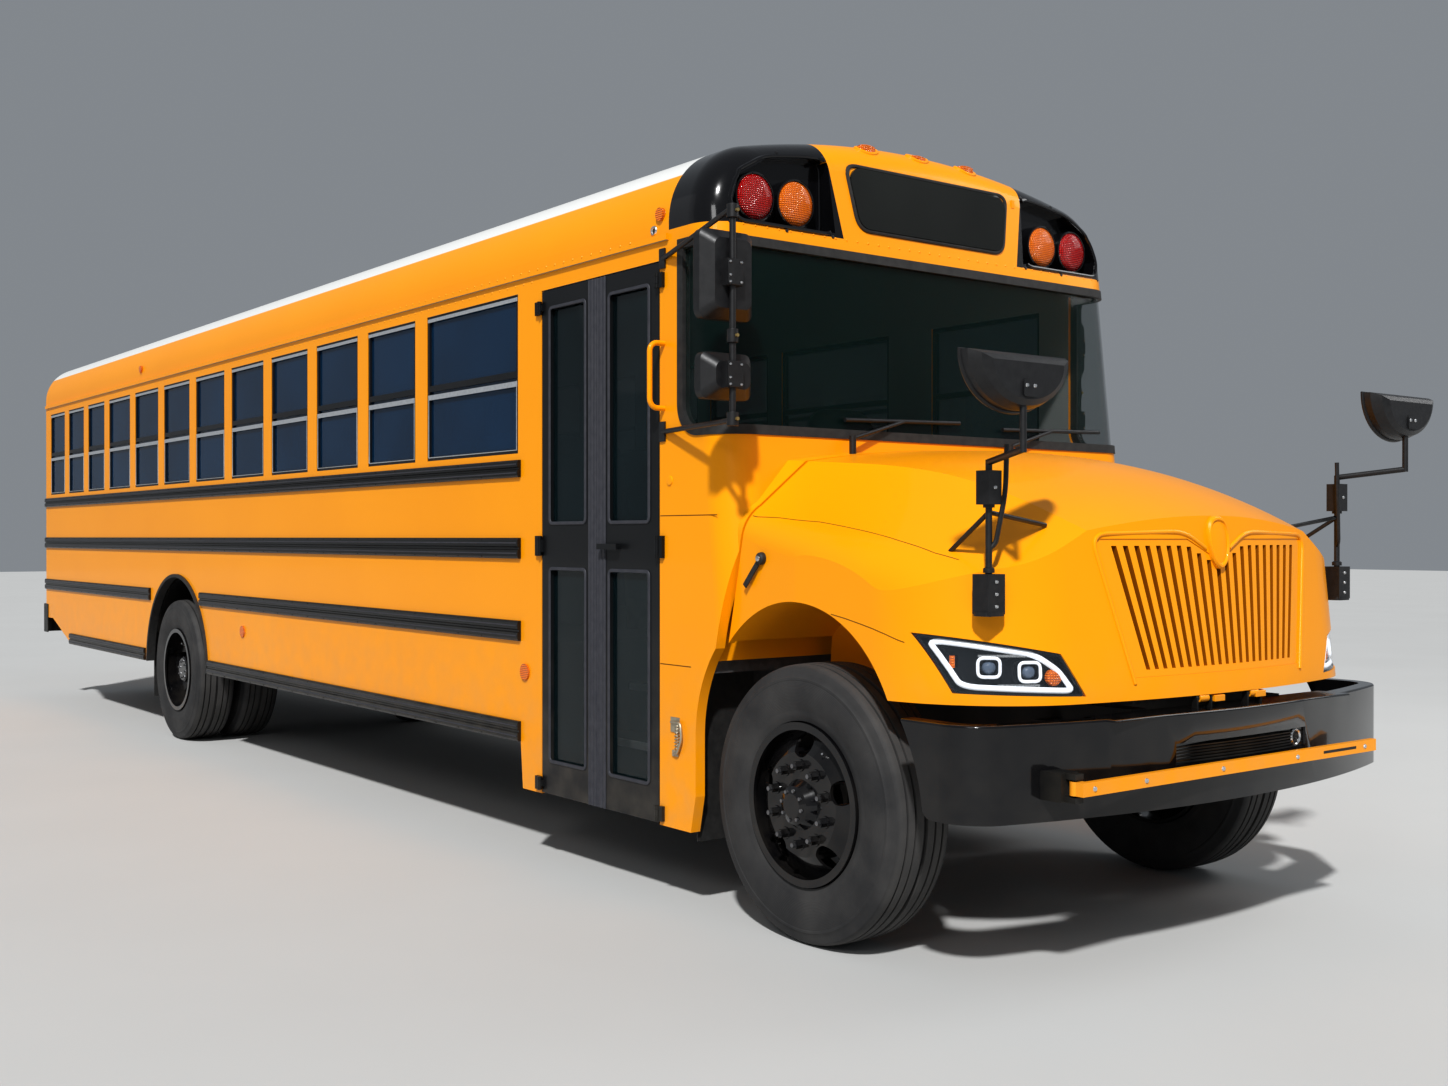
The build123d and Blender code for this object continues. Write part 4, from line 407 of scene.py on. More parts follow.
def spin(bm, profile, centre, axis, segments=32, look=0, closed=False):
    way = Vector(axis).normalized()
    side = way.orthogonal().normalized()
    up = way.cross(side)
    turn = 2 * math.pi / segments
    rings = []
    for along, radius in profile:
        middle = Vector(centre) + way * along
        if radius < 1e-6:
            rings.append([bm.verts.new(middle)])
            continue
        rings.append([bm.verts.new(middle + (side * math.cos(i * turn) + up * math.sin(i * turn)) * radius)
                      for i in range(segments)])
    skin(bm, rings, look, closed, capped=False)


def prism(bm, outline, shift, look=0):
    low = [bm.verts.new(p) for p in outline]
    high = [bm.verts.new(Vector(p) + Vector(shift)) for p in outline]
    skin(bm, [low, high], look)


def slab(bm, low, high, look=0):
    (x0, y0, z0), (x1, y1, z1) = low, high
    prism(bm, pane(2, z0, x0, x1, y0, y1), (0, 0, z1 - z0), look)


def sideSlab(bm, side, reach, x0, x1, z0, z1, look=0):  # on a side wall
    y0, y1 = sorted((side * bus["wall"], side * reach))
    slab(bm, (x0, y0, z0), (x1, y1, z1), look)


def put(name, data):
    made = bpy.data.objects.new(name, data)
    bpy.context.collection.objects.link(made)
    return made


def piece(name, bm, looks, body, stands=(), bevel=0.0, angle=40):
    bmesh.ops.remove_doubles(bm, verts=bm.verts, dist=1e-6)
    bmesh.ops.recalc_face_normals(bm, faces=bm.faces)
    mesh = bpy.data.meshes.new(name)
    bm.to_mesh(mesh)
    bm.free()
    for look in looks if isinstance(looks, list) else [looks]:
        mesh.materials.append(mats[look])
    mesh.shade_smooth()
    mesh.set_sharp_from_angle(angle=math.radians(angle))
    made = put(name, mesh)
    if bevel:
        edge = made.modifiers.new("softEdge", "BEVEL")
        edge.width = bevel
        edge.segments = 2
        edge.limit_method = "ANGLE"
        edge.angle_limit = math.radians(35)
        edge.harden_normals = True
    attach(made, body)
    if stands:
        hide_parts(*stands)
    return made


# Geometry Nodes: one small head on every spot, turned to face along its normal
def headTree():
    tree = bpy.data.node_groups.new("fastenerHeads", "GeometryNodeTree")
    given = {"Spots": "Geometry", "Foot Radius": "Float", "Top Radius": "Float", "Height": "Float", "Sides": "Int",
             "Finish": "Material"}
    for label, kind in given.items():
        tree.interface.new_socket(label, in_out="INPUT", socket_type="NodeSocket" + kind)
    tree.interface.new_socket("Heads", in_out="OUTPUT", socket_type="NodeSocketGeometry")
    kinds = {"given": "NodeGroupInput", "result": "NodeGroupOutput", "cone": "GeometryNodeMeshCone",
             "facing": "GeometryNodeInputNamedAttribute", "turn": "FunctionNodeAlignRotationToVector",
             "copies": "GeometryNodeInstanceOnPoints", "real": "GeometryNodeRealizeInstances",
             "finish": "GeometryNodeSetMaterial"}
    made = {name: tree.nodes.new(kind) for name, kind in kinds.items()}
    made["facing"].data_type = "FLOAT_VECTOR"
    made["facing"].inputs["Name"].default_value = "facing"
    made["turn"].axis = "Z"
    for start, out, end, into in (
        ("given", "Foot Radius", "cone", "Radius Bottom"),
        ("given", "Top Radius", "cone", "Radius Top"),
        ("given", "Height", "cone", "Depth"),
        ("given", "Sides", "cone", "Vertices"),
        ("given", "Spots", "copies", "Points"),
        ("cone", "Mesh", "copies", "Instance"),
        ("facing", "Attribute", "turn", "Vector"),
        ("turn", "Rotation", "copies", "Rotation"),
        ("copies", "Instances", "real", "Geometry"),
        ("real", "Geometry", "finish", "Geometry"),
        ("given", "Finish", "finish", "Material"),
        ("finish", "Geometry", "result", "Heads"),
    ):
        tree.links.new(made[start].outputs[out], made[end].inputs[into])
    return tree


heads = headTree()


# The head is given by its foot radius, top radius, height and number of sides
def fasteners(name, spots, head, look, body):
    mesh = bpy.data.meshes.new(name + "Spots")
    mesh.from_pydata([spot for spot, _ in spots], [], [])
    facing = mesh.attributes.new("facing", "FLOAT_VECTOR", "POINT")
    facing.data.foreach_set("vector", [c for _, normal in spots for c in normal])
    seed = put(name + "Spots", mesh)
    array = seed.modifiers.new("heads", "NODES")
    array.node_group = heads
    sockets = {s.name: s.identifier for s in heads.interface.items_tree if s.in_out == "INPUT"}
    for label, value in zip(("Foot Radius", "Top Radius", "Height", "Sides", "Finish"), (*head, mats[look])):
        array[sockets[label]] = value
    done = bpy.data.meshes.new_from_object(seed.evaluated_get(bpy.context.evaluated_depsgraph_get()))
    seed.modifiers.remove(array)
    bpy.data.objects.remove(seed)
    done.name = name
    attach(put(name, done), body)


rivet = (0.0055, 0.0030, 0.0028, 8)
screw = (0.0080, 0.0058, 0.0040, 10)


def wheels():
    wheel = {
        # across from the middle, radius: bead, rim guard, sidewall, shoulder, outer and inner grooves
        "half": [(0.1000, 0.299), (0.1200, 0.302), (0.1240, 0.318), (0.1275, 0.326), (0.1275, 0.336),
                 (0.1300, 0.344), (0.1365, 0.372), (0.1393, 0.404), (0.1378, 0.432), (0.1350, 0.449),
                 (0.1362, 0.452), (0.1358, 0.459), (0.1325, 0.463), (0.1290, 0.475), (0.1262, 0.487),
                 (0.1225, 0.4955), (0.1120, 0.5030), (0.1000, 0.5060), (0.0890, 0.5070), (0.0880, 0.4950),
                 (0.0800, 0.4950), (0.0790, 0.5078), (0.0520, 0.5088), (0.0510, 0.4955), (0.0430, 0.4955),
                 (0.0420, 0.5092), (0.0100, 0.5095), (0.0090, 0.4965), (0.0010, 0.4965)],
        "segments": 120, "studs": (10, 0.142875), "tipLift": 0.023, "washerLift": 0.0005, "hubBolts": 8,
        "tip": (0.0100, 0.0085, 0.022, 10), "washer": (0.0240, 0.0215, 0.006, 14),
        "cap": (0.0075, 0.0070, 0.008, 6), "valveTube": (0.0042, 8),
        "valve": [(0.215, 0.065), (0.215, 0.110), (0.232, 0.132)], "valveTurn": 0.55,
    }
    axles = {
        "front": {"plural": "", "tyres": [1.010], "nutFoot": 1.136, "hub": (0.055, 1.1790)},
        "rear": {"plural": "s", "tyres": [1.050, 0.725], "nutFoot": 1.030, "hub": (0.062, 1.1400)},
    }
    whole = wheel["half"] + [(-a, r) for a, r in reversed(wheel["half"])]
    for end, axle in axles.items():
        middle = bus[end + "Axle"]
        for hand, side in hands.items():
            body, node = [f"{part}{axle['plural']}_{end}_{hand}" for part in ("wheel", "tyre")]
            tail, tread = [name.title().replace("_", "") for name in (body, node)]
            bm = bmesh.new()
            for y in axle["tyres"]:
                spin(bm, whole, (middle, side * y, bus["axleZ"]), (0, 1, 0), wheel["segments"], closed=True)
            piece("tread" + tread, bm, "tyre" + end.title(), body, [node], angle=24)

            def around(turn, radius, y):
                return Vector((middle + radius * math.sin(turn), side * y, bus["axleZ"] + radius * math.cos(turn)))

            def ring(count, radius, y, phase=0.0):
                return [(around(i * 2 * math.pi / count + phase, radius, y), (0, side, 0)) for i in range(count)]

            lifts = [axle["nutFoot"] + wheel[lift] for lift in ("tipLift", "washerLift")]
            tips, washers = [ring(*wheel["studs"], y) for y in lifts]
            bolts = ring(wheel["hubBolts"], *axle["hub"], 0.2)
            fasteners("studTips" + tail, tips, wheel["tip"], "nutSteel", body)
            fasteners("nutWashers" + tail, washers, wheel["washer"], "blackGloss", body)
            fasteners("hubBolts" + tail, bolts, wheel["cap"], "nutSteel", body)
            bm = bmesh.new()  # valve stem through a hand hole
            valve = [around(wheel["valveTurn"], r, axle["tyres"][0] + out) for r, out in wheel["valve"]]
            sweep(bm, valve, circle(*wheel["valveTube"]))
            piece("valveStem" + tail, bm, "steel", body)


def headlamps():
    lamp = {
        "corners": [(0.707, 0.954), (0.793, 1.096), (1.140, 1.163), (1.085, 0.968)],
        "back": 0.046, "cells": (20, 6), "step": 0.06,
        "rim": [(0.02, 0.03), (0.02, 0.97), (0.98, 0.97), (0.98, 0.03)],
        "loop": [(0.075, 0.13), (0.115, 0.60), (0.26, 0.88), (0.955, 0.90), (0.935, 0.12)], "tube": 0.0098,
        "projectors": [(0.40, 0.49), (0.70, 0.50)], "half": (0.036, 0.031),
        "barrel": [(-0.030, 0.030), (-0.004, 0.030), (-0.004, 0.0265), (-0.020, 0.0245)],
        "dome": [(-0.020, 0.0245), (-0.011, 0.022), (-0.005, 0.015), (-0.003, 0.008), (-0.002, 0.0)],
        "turn": (0.190, 0.42, 0.016), "turnDome": [(-0.012, 0.029), (0.0, 0.027), (0.006, 0.017), (0.008, 0.0)],
        # an amber reflector and two bright bars: place, half sizes, look
        "bars": [(0.905, 0.55, 0.009, 0.020, 3), (0.55, 0.20, 0.070, 0.004, 4), (0.55, 0.76, 0.080, 0.004, 4)],
    }
    bm = bmesh.new()
    for side in sides:
        inLow, inHigh, outHigh, outLow = [Vector((side * y, z, 0)) for y, z in lamp["corners"]]

        def at(u, v, sink):
            flat = inLow.lerp(outLow, u).lerp(inHigh.lerp(outHigh, u), v)
            spot, normal = ahead("headlamps", flat.x, flat.y)
            return spot - normal * sink, normal

        def follow(corners, sink, radius, section, look):
            flat = rounded([(u, v, 0) for u, v in corners], radius, 6, True)
            fine = []
            for first, second in zip(flat, flat[1:] + flat[:1]):
                steps = max(1, round((second - first).length / lamp["step"]))
                fine += [first.lerp(second, k / steps) for k in range(steps)]
            trace(bm, [at(p.x, p.y, sink) for p in fine], section, True, look)

        def patch(spot, normal, half, rise):
            across = Vector((0, 0, 1)).cross(normal).normalized()
            up = normal.cross(across)
            return [spot + across * i + up * j for i, j in oblong(half, rise)]

        columns, rows = lamp["cells"]
        back = [[bm.verts.new(at(0.015 + 0.97 * i / columns, 0.02 + 0.96 * j / rows, lamp["back"])[0])
                 for i in range(columns + 1)] for j in range(rows + 1)]
        for low, high in zip(back, back[1:]):
            for i in range(columns):
                bm.faces.new([low[i], low[i + 1], high[i + 1], high[i]])
        follow(lamp["rim"], 0.024, 0.04, oblong(0.004, 0.022), 0)
        follow(lamp["loop"], 0.014, 0.10, circle(lamp["tube"], 10, 0.8), 1)
        for u, v in lamp["projectors"]:
            spot, normal = at(u, v, 0.012)
            square = rounded(patch(spot, normal, *lamp["half"]), 0.02, 6, True)
            sweep(bm, square, circle(0.0055, 8), normal, True, 1)
            spin(bm, lamp["barrel"], spot, normal, 28, 0)
            spin(bm, lamp["dome"], spot, normal, 28, 2)
        spin(bm, lamp["turnDome"], *at(*lamp["turn"]), 28, 3)
        for u, v, half, rise, look in lamp["bars"]:
            spot, normal = at(u, v, 0.020)
            prism(bm, patch(spot, normal, half, rise), normal * 0.004, look)
    piece("headlampInsides", bm, ["blackGloss", "led", "projector", "amber", "steel"], "hood")


def onCap(y, z):  # the front cap with its lamp housings and sign window
    return hit(("front_cap", "lamp_housings", "sign_window"), (bus["beforeCap"], y, z), (-1, 0, 0))


def outsideOf(y, z, stretch, lift):  # a point of the cap, a little outside an outline
    return onCap(y * stretch, z + (lift if z > 2.9 else -lift))


def warningLamps():
    lamp = {
        "places": [0.746, 0.956],  # amber, red
        # place, way it faces, bulge, depth of the ring
        "ends": [(4.3919, 2.826, 1, 1.0, -0.045), (-5.981, 2.806, -1, 0.8, -0.014)],
        "dome": [(-0.002, 0.089), (0.007, 0.086), (0.016, 0.074), (0.022, 0.052), (0.0255, 0.026), (0.027, 0.0)],
        "ring": [(0.0, 0.090), (0.006, 0.0905), (0.008, 0.094), (0.005, 0.099)],
        "pocket": [(0.578, 3.022), (0.700, 3.018), (0.900, 2.988), (1.052, 2.902), (1.094, 2.790), (1.062, 2.720),
                   (0.572, 2.720)],
        "corner": 0.05, "beadOut": (1.012, 0.006), "bead": (0.0085, 8),
        "screws": [(0.585, 2.705), (0.600, 3.035), (1.105, 2.705), (0.830, 3.025), (0.830, 2.700)],
    }
    bm = bmesh.new()
    spots = []
    for side in sides:
        for look, y in enumerate(lamp["places"]):
            for x, z, way, bulge, depth in lamp["ends"]:
                centre = (x, side * y, z)
                spin(bm, [(a * bulge, r) for a, r in lamp["dome"]], centre, (way, 0, 0), 40, look)
                spin(bm, lamp["ring"] + [(depth, 0.100), (depth, 0.0902)], centre, (way, 0, 0), 40, 2, closed=True)
        flat = rounded([(side * y, z, 0) for y, z in lamp["pocket"]], lamp["corner"], 6, True)
        path = [outsideOf(p.x, p.y, *lamp["beadOut"])[0] for p in flat]
        sweep(bm, path, circle(*lamp["bead"]), (1, 0, 0.1), True, 2)
        spots += [onCap(side * y, z) for y, z in lamp["screws"]]
    piece("warningLampLenses", bm, ["amber", "red", "blackGloss"], "body")
    fasteners("housingScrews", spots, screw, "plastic", "body")


def signAndMarkers():
    sign = {"outline": [(-0.429, 2.760), (0.429, 2.760), (0.482, 3.015), (-0.482, 3.015)], "corner": 0.06,
            "bead": (0.009, 8), "beadOut": (1.016, 0.008), "catch": [(4.392, 0.520, 2.975), (4.412, 0.540, 3.010)]}
    marker = {"x": 4.330, "half": (0.023, 0.045), "lip": 0.009, "places": (-0.300, 0.0, 0.300), "top": 3.138,
              "levels": [(1.0, -0.030), (1.0, -0.004), (0.86, 0.004), (0.5, 0.008)],  # share and height
              "slack": 0.001}
    bm = bmesh.new()
    path = rounded([(y, z, 0) for y, z in sign["outline"]], sign["corner"], 6, True)
    trace(bm, [outsideOf(p.x, p.y, *sign["beadOut"]) for p in path], circle(*sign["bead"]), True)
    for y in marker["places"]:
        def oval(margin, share=1.0):
            long, wide = [(h + margin) * share for h in marker["half"]]
            return [(marker["x"] + a * long, y + b * wide) for a, b in circle(1.0, 28)]

        rim = [hit("front_cap", (*spot, 4.0), (0, 0, -1)) for spot in oval(marker["lip"])]
        trace(bm, rim, circle(marker["lip"], 8, 0.9), True, 1)
        skin(bm, [[bm.verts.new((*spot, marker["top"] + lift)) for spot in oval(marker["slack"], share)]
                  for share, lift in marker["levels"]], 2)
    slab(bm, *sign["catch"], 1)
    piece("signAndMarkerRims", bm, ["rubber", "yellow", "amber"], "body")


def sideMirrors():
    mirror = {
        "tubes": [(4.760, -1), (4.110, 1)], "y": 1.350, "headY": 1.335, "glassBack": 0.0952, "glass": 0.0022,
        "heads": [(2.270, 2.595, 0.120), (1.980, 2.150, 0.115)],  # low, high, half width
        "inset": 0.012, "corner": 0.03, "rim": 0.006, "rimCorner": 0.034,
        "elbows": [(1.905, 0.016), (2.655, 0.016), (2.205, 0.015)],  # height, radius
        "plate": (0.034, 0.046), "plateX": 0.0150, "plateThick": 0.006, "screwX": 0.0215,
        "screws": [(-0.025, -0.036), (0.025, -0.036), (-0.025, 0.036), (0.025, 0.036), (-0.025, -0.012)],
        "screw": (0.0055, 0.004, 0.003, 8), "nut": (0.0075, 0.007, 0.009, 6),
    }
    bm = bmesh.new()
    spots, nuts = [], []
    for tubeX, side in mirror["tubes"]:
        y = side * mirror["y"]
        for low, high, half in mirror["heads"]:
            z = (low + high) / 2

            def border(inset, corner):
                middle, size = (side * mirror["headY"], z), (half - inset, high - z - inset)
                return plaque(0, tubeX - mirror["glassBack"], middle, size, corner, 5)

            prism(bm, border(mirror["inset"], mirror["corner"]), (-mirror["glass"], 0, 0), 1)
            rim = border(mirror["inset"] - mirror["rim"], mirror["rimCorner"])
            sweep(bm, rim, circle(mirror["rim"], 8), (1, 0, 0), True)
            plate = plaque(0, tubeX + mirror["plateX"], (y, z), mirror["plate"], 0.008, 3)
            prism(bm, plate, (mirror["plateThick"], 0, 0))
            spots += [((tubeX + mirror["screwX"], y + a, z + b), (1, 0, 0)) for a, b in mirror["screws"]]
        for z, radius in mirror["elbows"]:
            sleeve = [(-0.026, radius), (-0.024, radius + 0.006), (0.024, radius + 0.006), (0.026, radius)]
            spin(bm, sleeve, (tubeX, y, z), (0, 0, 1), 20, closed=True)
            nuts.append(((tubeX + radius + 0.008, y, z), (1, 0, 0)))
    piece("sideMirrorTrim", bm, ["plastic", "mirror"], "body", bevel=0.001)
    fasteners("mirrorClampScrews", spots, mirror["screw"], "steel", "body")
    fasteners("mirrorElbowNuts", nuts, mirror["nut"], "brass", "body")


def crossviews():
    head = {
        "y": 1.130, "rimTop": 2.043, "half": 0.221625, "deep": 0.17533, "middle": 1.972, "rimX": 5.881,
        "faceX": 5.8745, "bulge": 0.012, "faceShares": (1.0, 0.85, 0.6, 0.3), "tube": (0.008, 8),
        "plateZ": 1.935, "plate": (0.030, 0.026), "plateScrews": (-0.018, 0.018),
        "box": (1.230, 1.360), "smallBox": (1.585, 1.695), "boxX": 5.702, "boxY": 1.030, "foot": (0.036, 0.044),
        "collar": [(0.0, 0.012), (0.0, 0.019), (0.014, 0.019), (0.018, 0.012)],
        # the second tube, from the top of the small box: forward, inward, up
        "second": [(0.030, 0.052, 0.085), (0.030, 0.046, -0.070), (0.016, 0.016, -0.235), (0.0, 0.0, -0.255)],
        "screw": (0.007, 0.005, 0.004, 10),
    }
    node = "crossview_mirrors"
    boxLow, boxHigh = head["box"]
    low, high = head["smallBox"]
    bm = bmesh.new()
    spots = []
    for side in sides:
        y, boxX, boxY = side * head["y"], head["boxX"], side * head["boxY"]
        rim = [(y + head["half"] * math.cos(a), head["rimTop"] - head["deep"] * math.sin(a))
               for a in [math.pi * k / 28 for k in range(29)]]
        sweep(bm, [(head["rimX"], a, b) for a, b in rim], circle(*head["tube"]), (1, 0, 0), True)
        rings = []
        for share in head["faceShares"]:
            x, size = head["faceX"] - head["bulge"] * (1 - share * share), share * 0.97
            rings.append([bm.verts.new((x, y + (a - y) * size, head["middle"] + (b - head["middle"]) * size))
                          for a, b in rim])
        skin(bm, rings, 1, capped=False)
        bm.faces.new(rings[-1]).material_index = 1
        z = head["plateZ"]
        x = ahead(node, y, z)[0].x
        prism(bm, plaque(0, x - 0.003, (y, z), head["plate"], 0.008, 3), (0.008, 0, 0))
        spots += [((x + 0.006, y + a, z + 0.008), (1, 0, 0)) for a in head["plateScrews"]]
        for z in (boxLow + 0.025, (boxLow + boxHigh) / 2, boxHigh - 0.025, (low + high) / 2):
            spots.append(ahead(node, boxY, z))
        for z in (boxHigh + 0.004, low - 0.010):
            spin(bm, head["collar"], (boxX, boxY, z), (0, 0, 1), 16, closed=True)
        second = [(boxX + a, boxY - side * b, high + c) for a, b, c in head["second"]]
        sweep(bm, rounded(second, 0.05), circle(0.0085, 8))
        prism(bm, plaque(2, boxLow - 0.006, (boxX, boxY), head["foot"], 0.02, 4), (0, 0, 0.014))
    piece("crossviewTrim", bm, ["plastic", "mirror"], "hood")
    fasteners("crossviewScrews", spots, head["screw"], "steel", "hood")


def onHood(z):  # the nose of the hood on the centre line
    return 5.905 - 0.11 * (z - 0.930)


def noseTrim():
    nose = {
        "boss": [(0.0, 1.560), (0.042, 1.548), (0.062, 1.505), (0.058, 1.440), (0.036, 1.385), (0.0, 1.360)],
        "middle": 1.465,
        # share of the outline, height over the hood
        "levels": [(1.0, -0.012), (1.0, 0.008), (0.93, 0.016), (0.84, 0.017), (0.80, 0.010), (0.50, 0.012),
                   (0.2, 0.013)],
        "surround": [(0.492, 0.984), (0.634, 1.490), (0.185, 1.500), (0.070, 1.440)],
        "hooks": (-0.065, 0.185), "hookRise": 0.022,
        # around the middle of a hook
        "hook": [(5.885, -0.030, 0.905), (5.905, -0.030, 0.902), (5.905, 0.030, 0.902), (5.885, 0.030, 0.905)],
        "hookPlate": [(5.840, -0.016, 0.900), (5.890, 0.016, 0.912)],
        "shadeScreen": [(-0.580, 1.450), (0.580, 1.450), (0.470, 1.020), (-0.470, 1.020)],
    }
    bm = bmesh.new()
    outline = nose["boss"] + [(-y, z) for y, z in reversed(nose["boss"][1:-1])]
    ring = rounded([(y, z, 0) for y, z in outline], 0.03, 4, True)
    rings = []
    for share, lift in nose["levels"]:
        places = [(p.x * share, nose["middle"] + (p.y - nose["middle"]) * share) for p in ring]
        rings.append([bm.verts.new((onHood(z) + lift, y, z)) for y, z in places])
    skin(bm, rings, 0)
    for side, y in zip(sides, nose["hooks"]):
        path = rounded([(side * a, z, 0) for a, z in nose["surround"]], 0.07, 6)
        trace(bm, [ahead("hood", p.x, p.y) for p in path], circle(0.008, 8))
        hook, plate = [[(a, y + b, c) for a, b, c in nose[name]] for name in ("hook", "hookPlate")]
        prism(bm, hook, (0, 0, nose["hookRise"]))
        slab(bm, *plate)
    shadeScreen = [(onHood(z) - 0.085 - 0.13 * abs(y), y, z) for y, z in nose["shadeScreen"]]  # dark screen behind the slats: partly a radiator screen, partly painted shade that keeps the gaps dark
    prism(bm, shadeScreen, (-0.006, 0, 0), 1)
    piece("noseBossAndTrim", bm, ["yellow", "rubber"], "hood", bevel=0.0015, angle=30)


def bumper():
    front = {
        "slats": 6, "low": 0.716, "high": 0.780, "half": 0.384, "face": 5.955, "curve": 7.960, "steps": 16,
        "slat": (0.0025, 0.012), "fitting": (5.940, 0.330, 0.750),
        "rim": [(0.0, 0.020), (0.012, 0.022), (0.016, 0.027), (0.012, 0.033), (0.0, 0.034)],
        "cap": [(0.0, 0.021), (0.006, 0.015), (0.008, 0.0)],
        "corner": (0.110, 6), "edge": (0.024, 4),  # offset and steps of the rolled edges
        "screws": (-0.880, -0.620, -0.200, 0.250, 0.700), "screw": (0.009, 0.007, 0.004, 12), "screwZ": 0.690,
        "slot": [(6.0080, 0.420, 0.686), (6.0105, 0.640, 0.696)],
    }
    bm = bmesh.new()
    pitch = (front["high"] - front["low"]) / front["slats"]
    for k in range(front["slats"]):
        z = front["low"] + (k + 0.5) * pitch
        across = [front["half"] * (2 * i / front["steps"] - 1) for i in range(front["steps"] + 1)]
        path = [(front["face"] - y * y / front["curve"], y, z) for y in across]
        sweep(bm, path, oblong(*front["slat"]), (1, 0, -0.5))
    spin(bm, front["rim"], front["fitting"], (1, 0, 0), 24, 1, closed=True)
    spin(bm, front["cap"], front["fitting"], (1, 0, 0), 24)
    piece("bumperIntake", bm, ["blackSatin", "steel"], "body")
    shell = bmesh.new()  # the bumper again, with its lower corners and top outer edge rolled over
    shell.from_mesh(nodes["front_bumper"].data)
    bmesh.ops.remove_doubles(shell, verts=shell.verts, dist=1e-5)
    bmesh.ops.dissolve_limit(shell, angle_limit=math.radians(1), verts=shell.verts, edges=shell.edges)
    low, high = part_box("front_bumper")
    rear = min(v.co.x for v in shell.verts if v.co.z < low.z + 0.002)

    def isCorner(e):
        return all(v.co.z < low.z + 0.002 and v.co.x < rear + 0.002 for v in e.verts)

    def isRolled(e):
        if len(e.link_faces) != 2 or min(v.co.z for v in e.verts) < high.z - 0.002:
            return False
        flat, wall = sorted(e.link_faces, key=lambda f: -f.normal.z)
        away = Vector((e.verts[0].co.x + e.verts[1].co.x - 9.0, e.verts[0].co.y + e.verts[1].co.y, 0))
        return flat.normal.z > 0.9 and abs(wall.normal.z) < 0.5 and wall.normal.dot(away) > 0.5

    for chosen, (offset, steps) in ((isCorner, front["corner"]), (isRolled, front["edge"])):
        edges = [e for e in shell.edges if chosen(e)]
        bmesh.ops.bevel(shell, geom=edges, offset=offset, segments=steps, profile=0.5, affect="EDGES",
                        clamp_overlap=True)
    made = piece("bumperShell", shell, "blackGloss", "body", ["front_bumper"], angle=35)
    made.modifiers.new("evenNormals", "WEIGHTED_NORMAL").keep_sharp = True
    spots = [ahead("crossing_arm", y, front["screwZ"]) for y in front["screws"]]
    fasteners("crossingArmScrews", spots, front["screw"], "steel", "crossing_arm")
    arm = bmesh.new()  # dark strip near the tip, painted shade standing in for the shadowed opening of a slot
    slab(arm, *front["slot"])
    piece("crossingArmSlot", arm, "rubber", "crossing_arm")


def windows():
    sash = {"low": 1.881, "edge": 0.004, "inset": 0.014, "y": (1.1955, 1.2000),
            "bars": [(2.177, 2.203, 0.002), (2.573, 2.591, 0.004)],  # low, high, how far past the sash
            "front": 2.941, "post": 0.135, "widths": [0.937] + [0.590] * 8 + [0.500] * 3}
    low, e = sash["low"], sash["edge"]
    middle = sum(sash["bars"][0][:2]) / 2
    bm = bmesh.new()
    for side in sides:
        y0, y1 = sorted(side * y for y in sash["y"])
        front = sash["front"]
        for width in sash["widths"]:
            x0, x1 = front - width + sash["inset"], front - sash["inset"]
            front -= width + sash["post"]
            bars = [(x0 - past, z0, x1 + past, z1) for z0, z1, past in sash["bars"]]
            bars += [(x0, low, x1, low + e), (x0, low + e, x0 + e, middle), (x1 - e, low + e, x1, middle)]
            for a, b, c, d in bars:
                slab(bm, (a, y0, b), (c, y1, d))
    piece("sashBars", bm, "alu", "body", bevel=0.0012)


def doors():
    bottom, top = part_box("door_front_leaf")
    door = {"seam": (3.553, 3.689), "gap": 0.0025, "out": -1.2025, "inn": -1.1985, "bead": 0.006,
            "beadLift": 0.0035, "panes": [(0.480, 1.335), (1.545, 2.500)], "paneY": -1.2005, "margin": 0.004,
            "frame": [(-0.008, 0.0), (0.008, 0.0), (0.006, 0.005), (-0.006, 0.005)],
            "steps": [(0.575, -0.945), (0.795, -0.735)], "stepEnds": (3.185, 4.060)}
    rear, front = door["seam"]
    middle = (rear + front) / 2
    leaves = {"door_front": (middle + door["gap"], front, 3.718, 4.009),
              "door_rear": (rear, middle - door["gap"], 3.233, 3.524)}
    for body, (x0, x1, paneRear, paneFront) in leaves.items():
        bm = bmesh.new()
        bead, out = door["bead"], door["out"]
        section = [(x0, door["inn"]), (x1, door["inn"]), (x1, out)]  # a rubber apron with three beads
        for x in (x1 - bead, (x0 + x1) / 2, x0 + bead):
            section += [(x + bead / 2, out), (x + bead / 4, out - door["beadLift"]),
                        (x - bead / 4, out - door["beadLift"]), (x - bead / 2, out)]
        section.append((x0, out))
        prism(bm, [(x, y, bottom.z) for x, y in section], (0, 0, top.z - bottom.z))
        m = door["margin"]
        # pale grey frames round the panes: rubber glazing, partly a painted highlight on the pane edges
        for z0, z1 in door["panes"]:
            line = pane(1, door["paneY"], paneRear - m, paneFront + m, z0 - m, z1 + m)
            sweep(bm, rounded(line, 0.022, 5, True), door["frame"], (0, -1, 0), True)
        piece("doorTrim" + body[5:].title(), bm, "greyRubber", body, bevel=0.001)
    steps = bmesh.new()  # pale nosings of the two steps
    x0, x1 = door["stepEnds"]
    for z, y in door["steps"]:
        slab(steps, (x0, y - 0.010, z - 0.030), (x1, y + 0.004, z + 0.004))
    piece("stepNosings", steps, "nosing", "body", bevel=0.003)


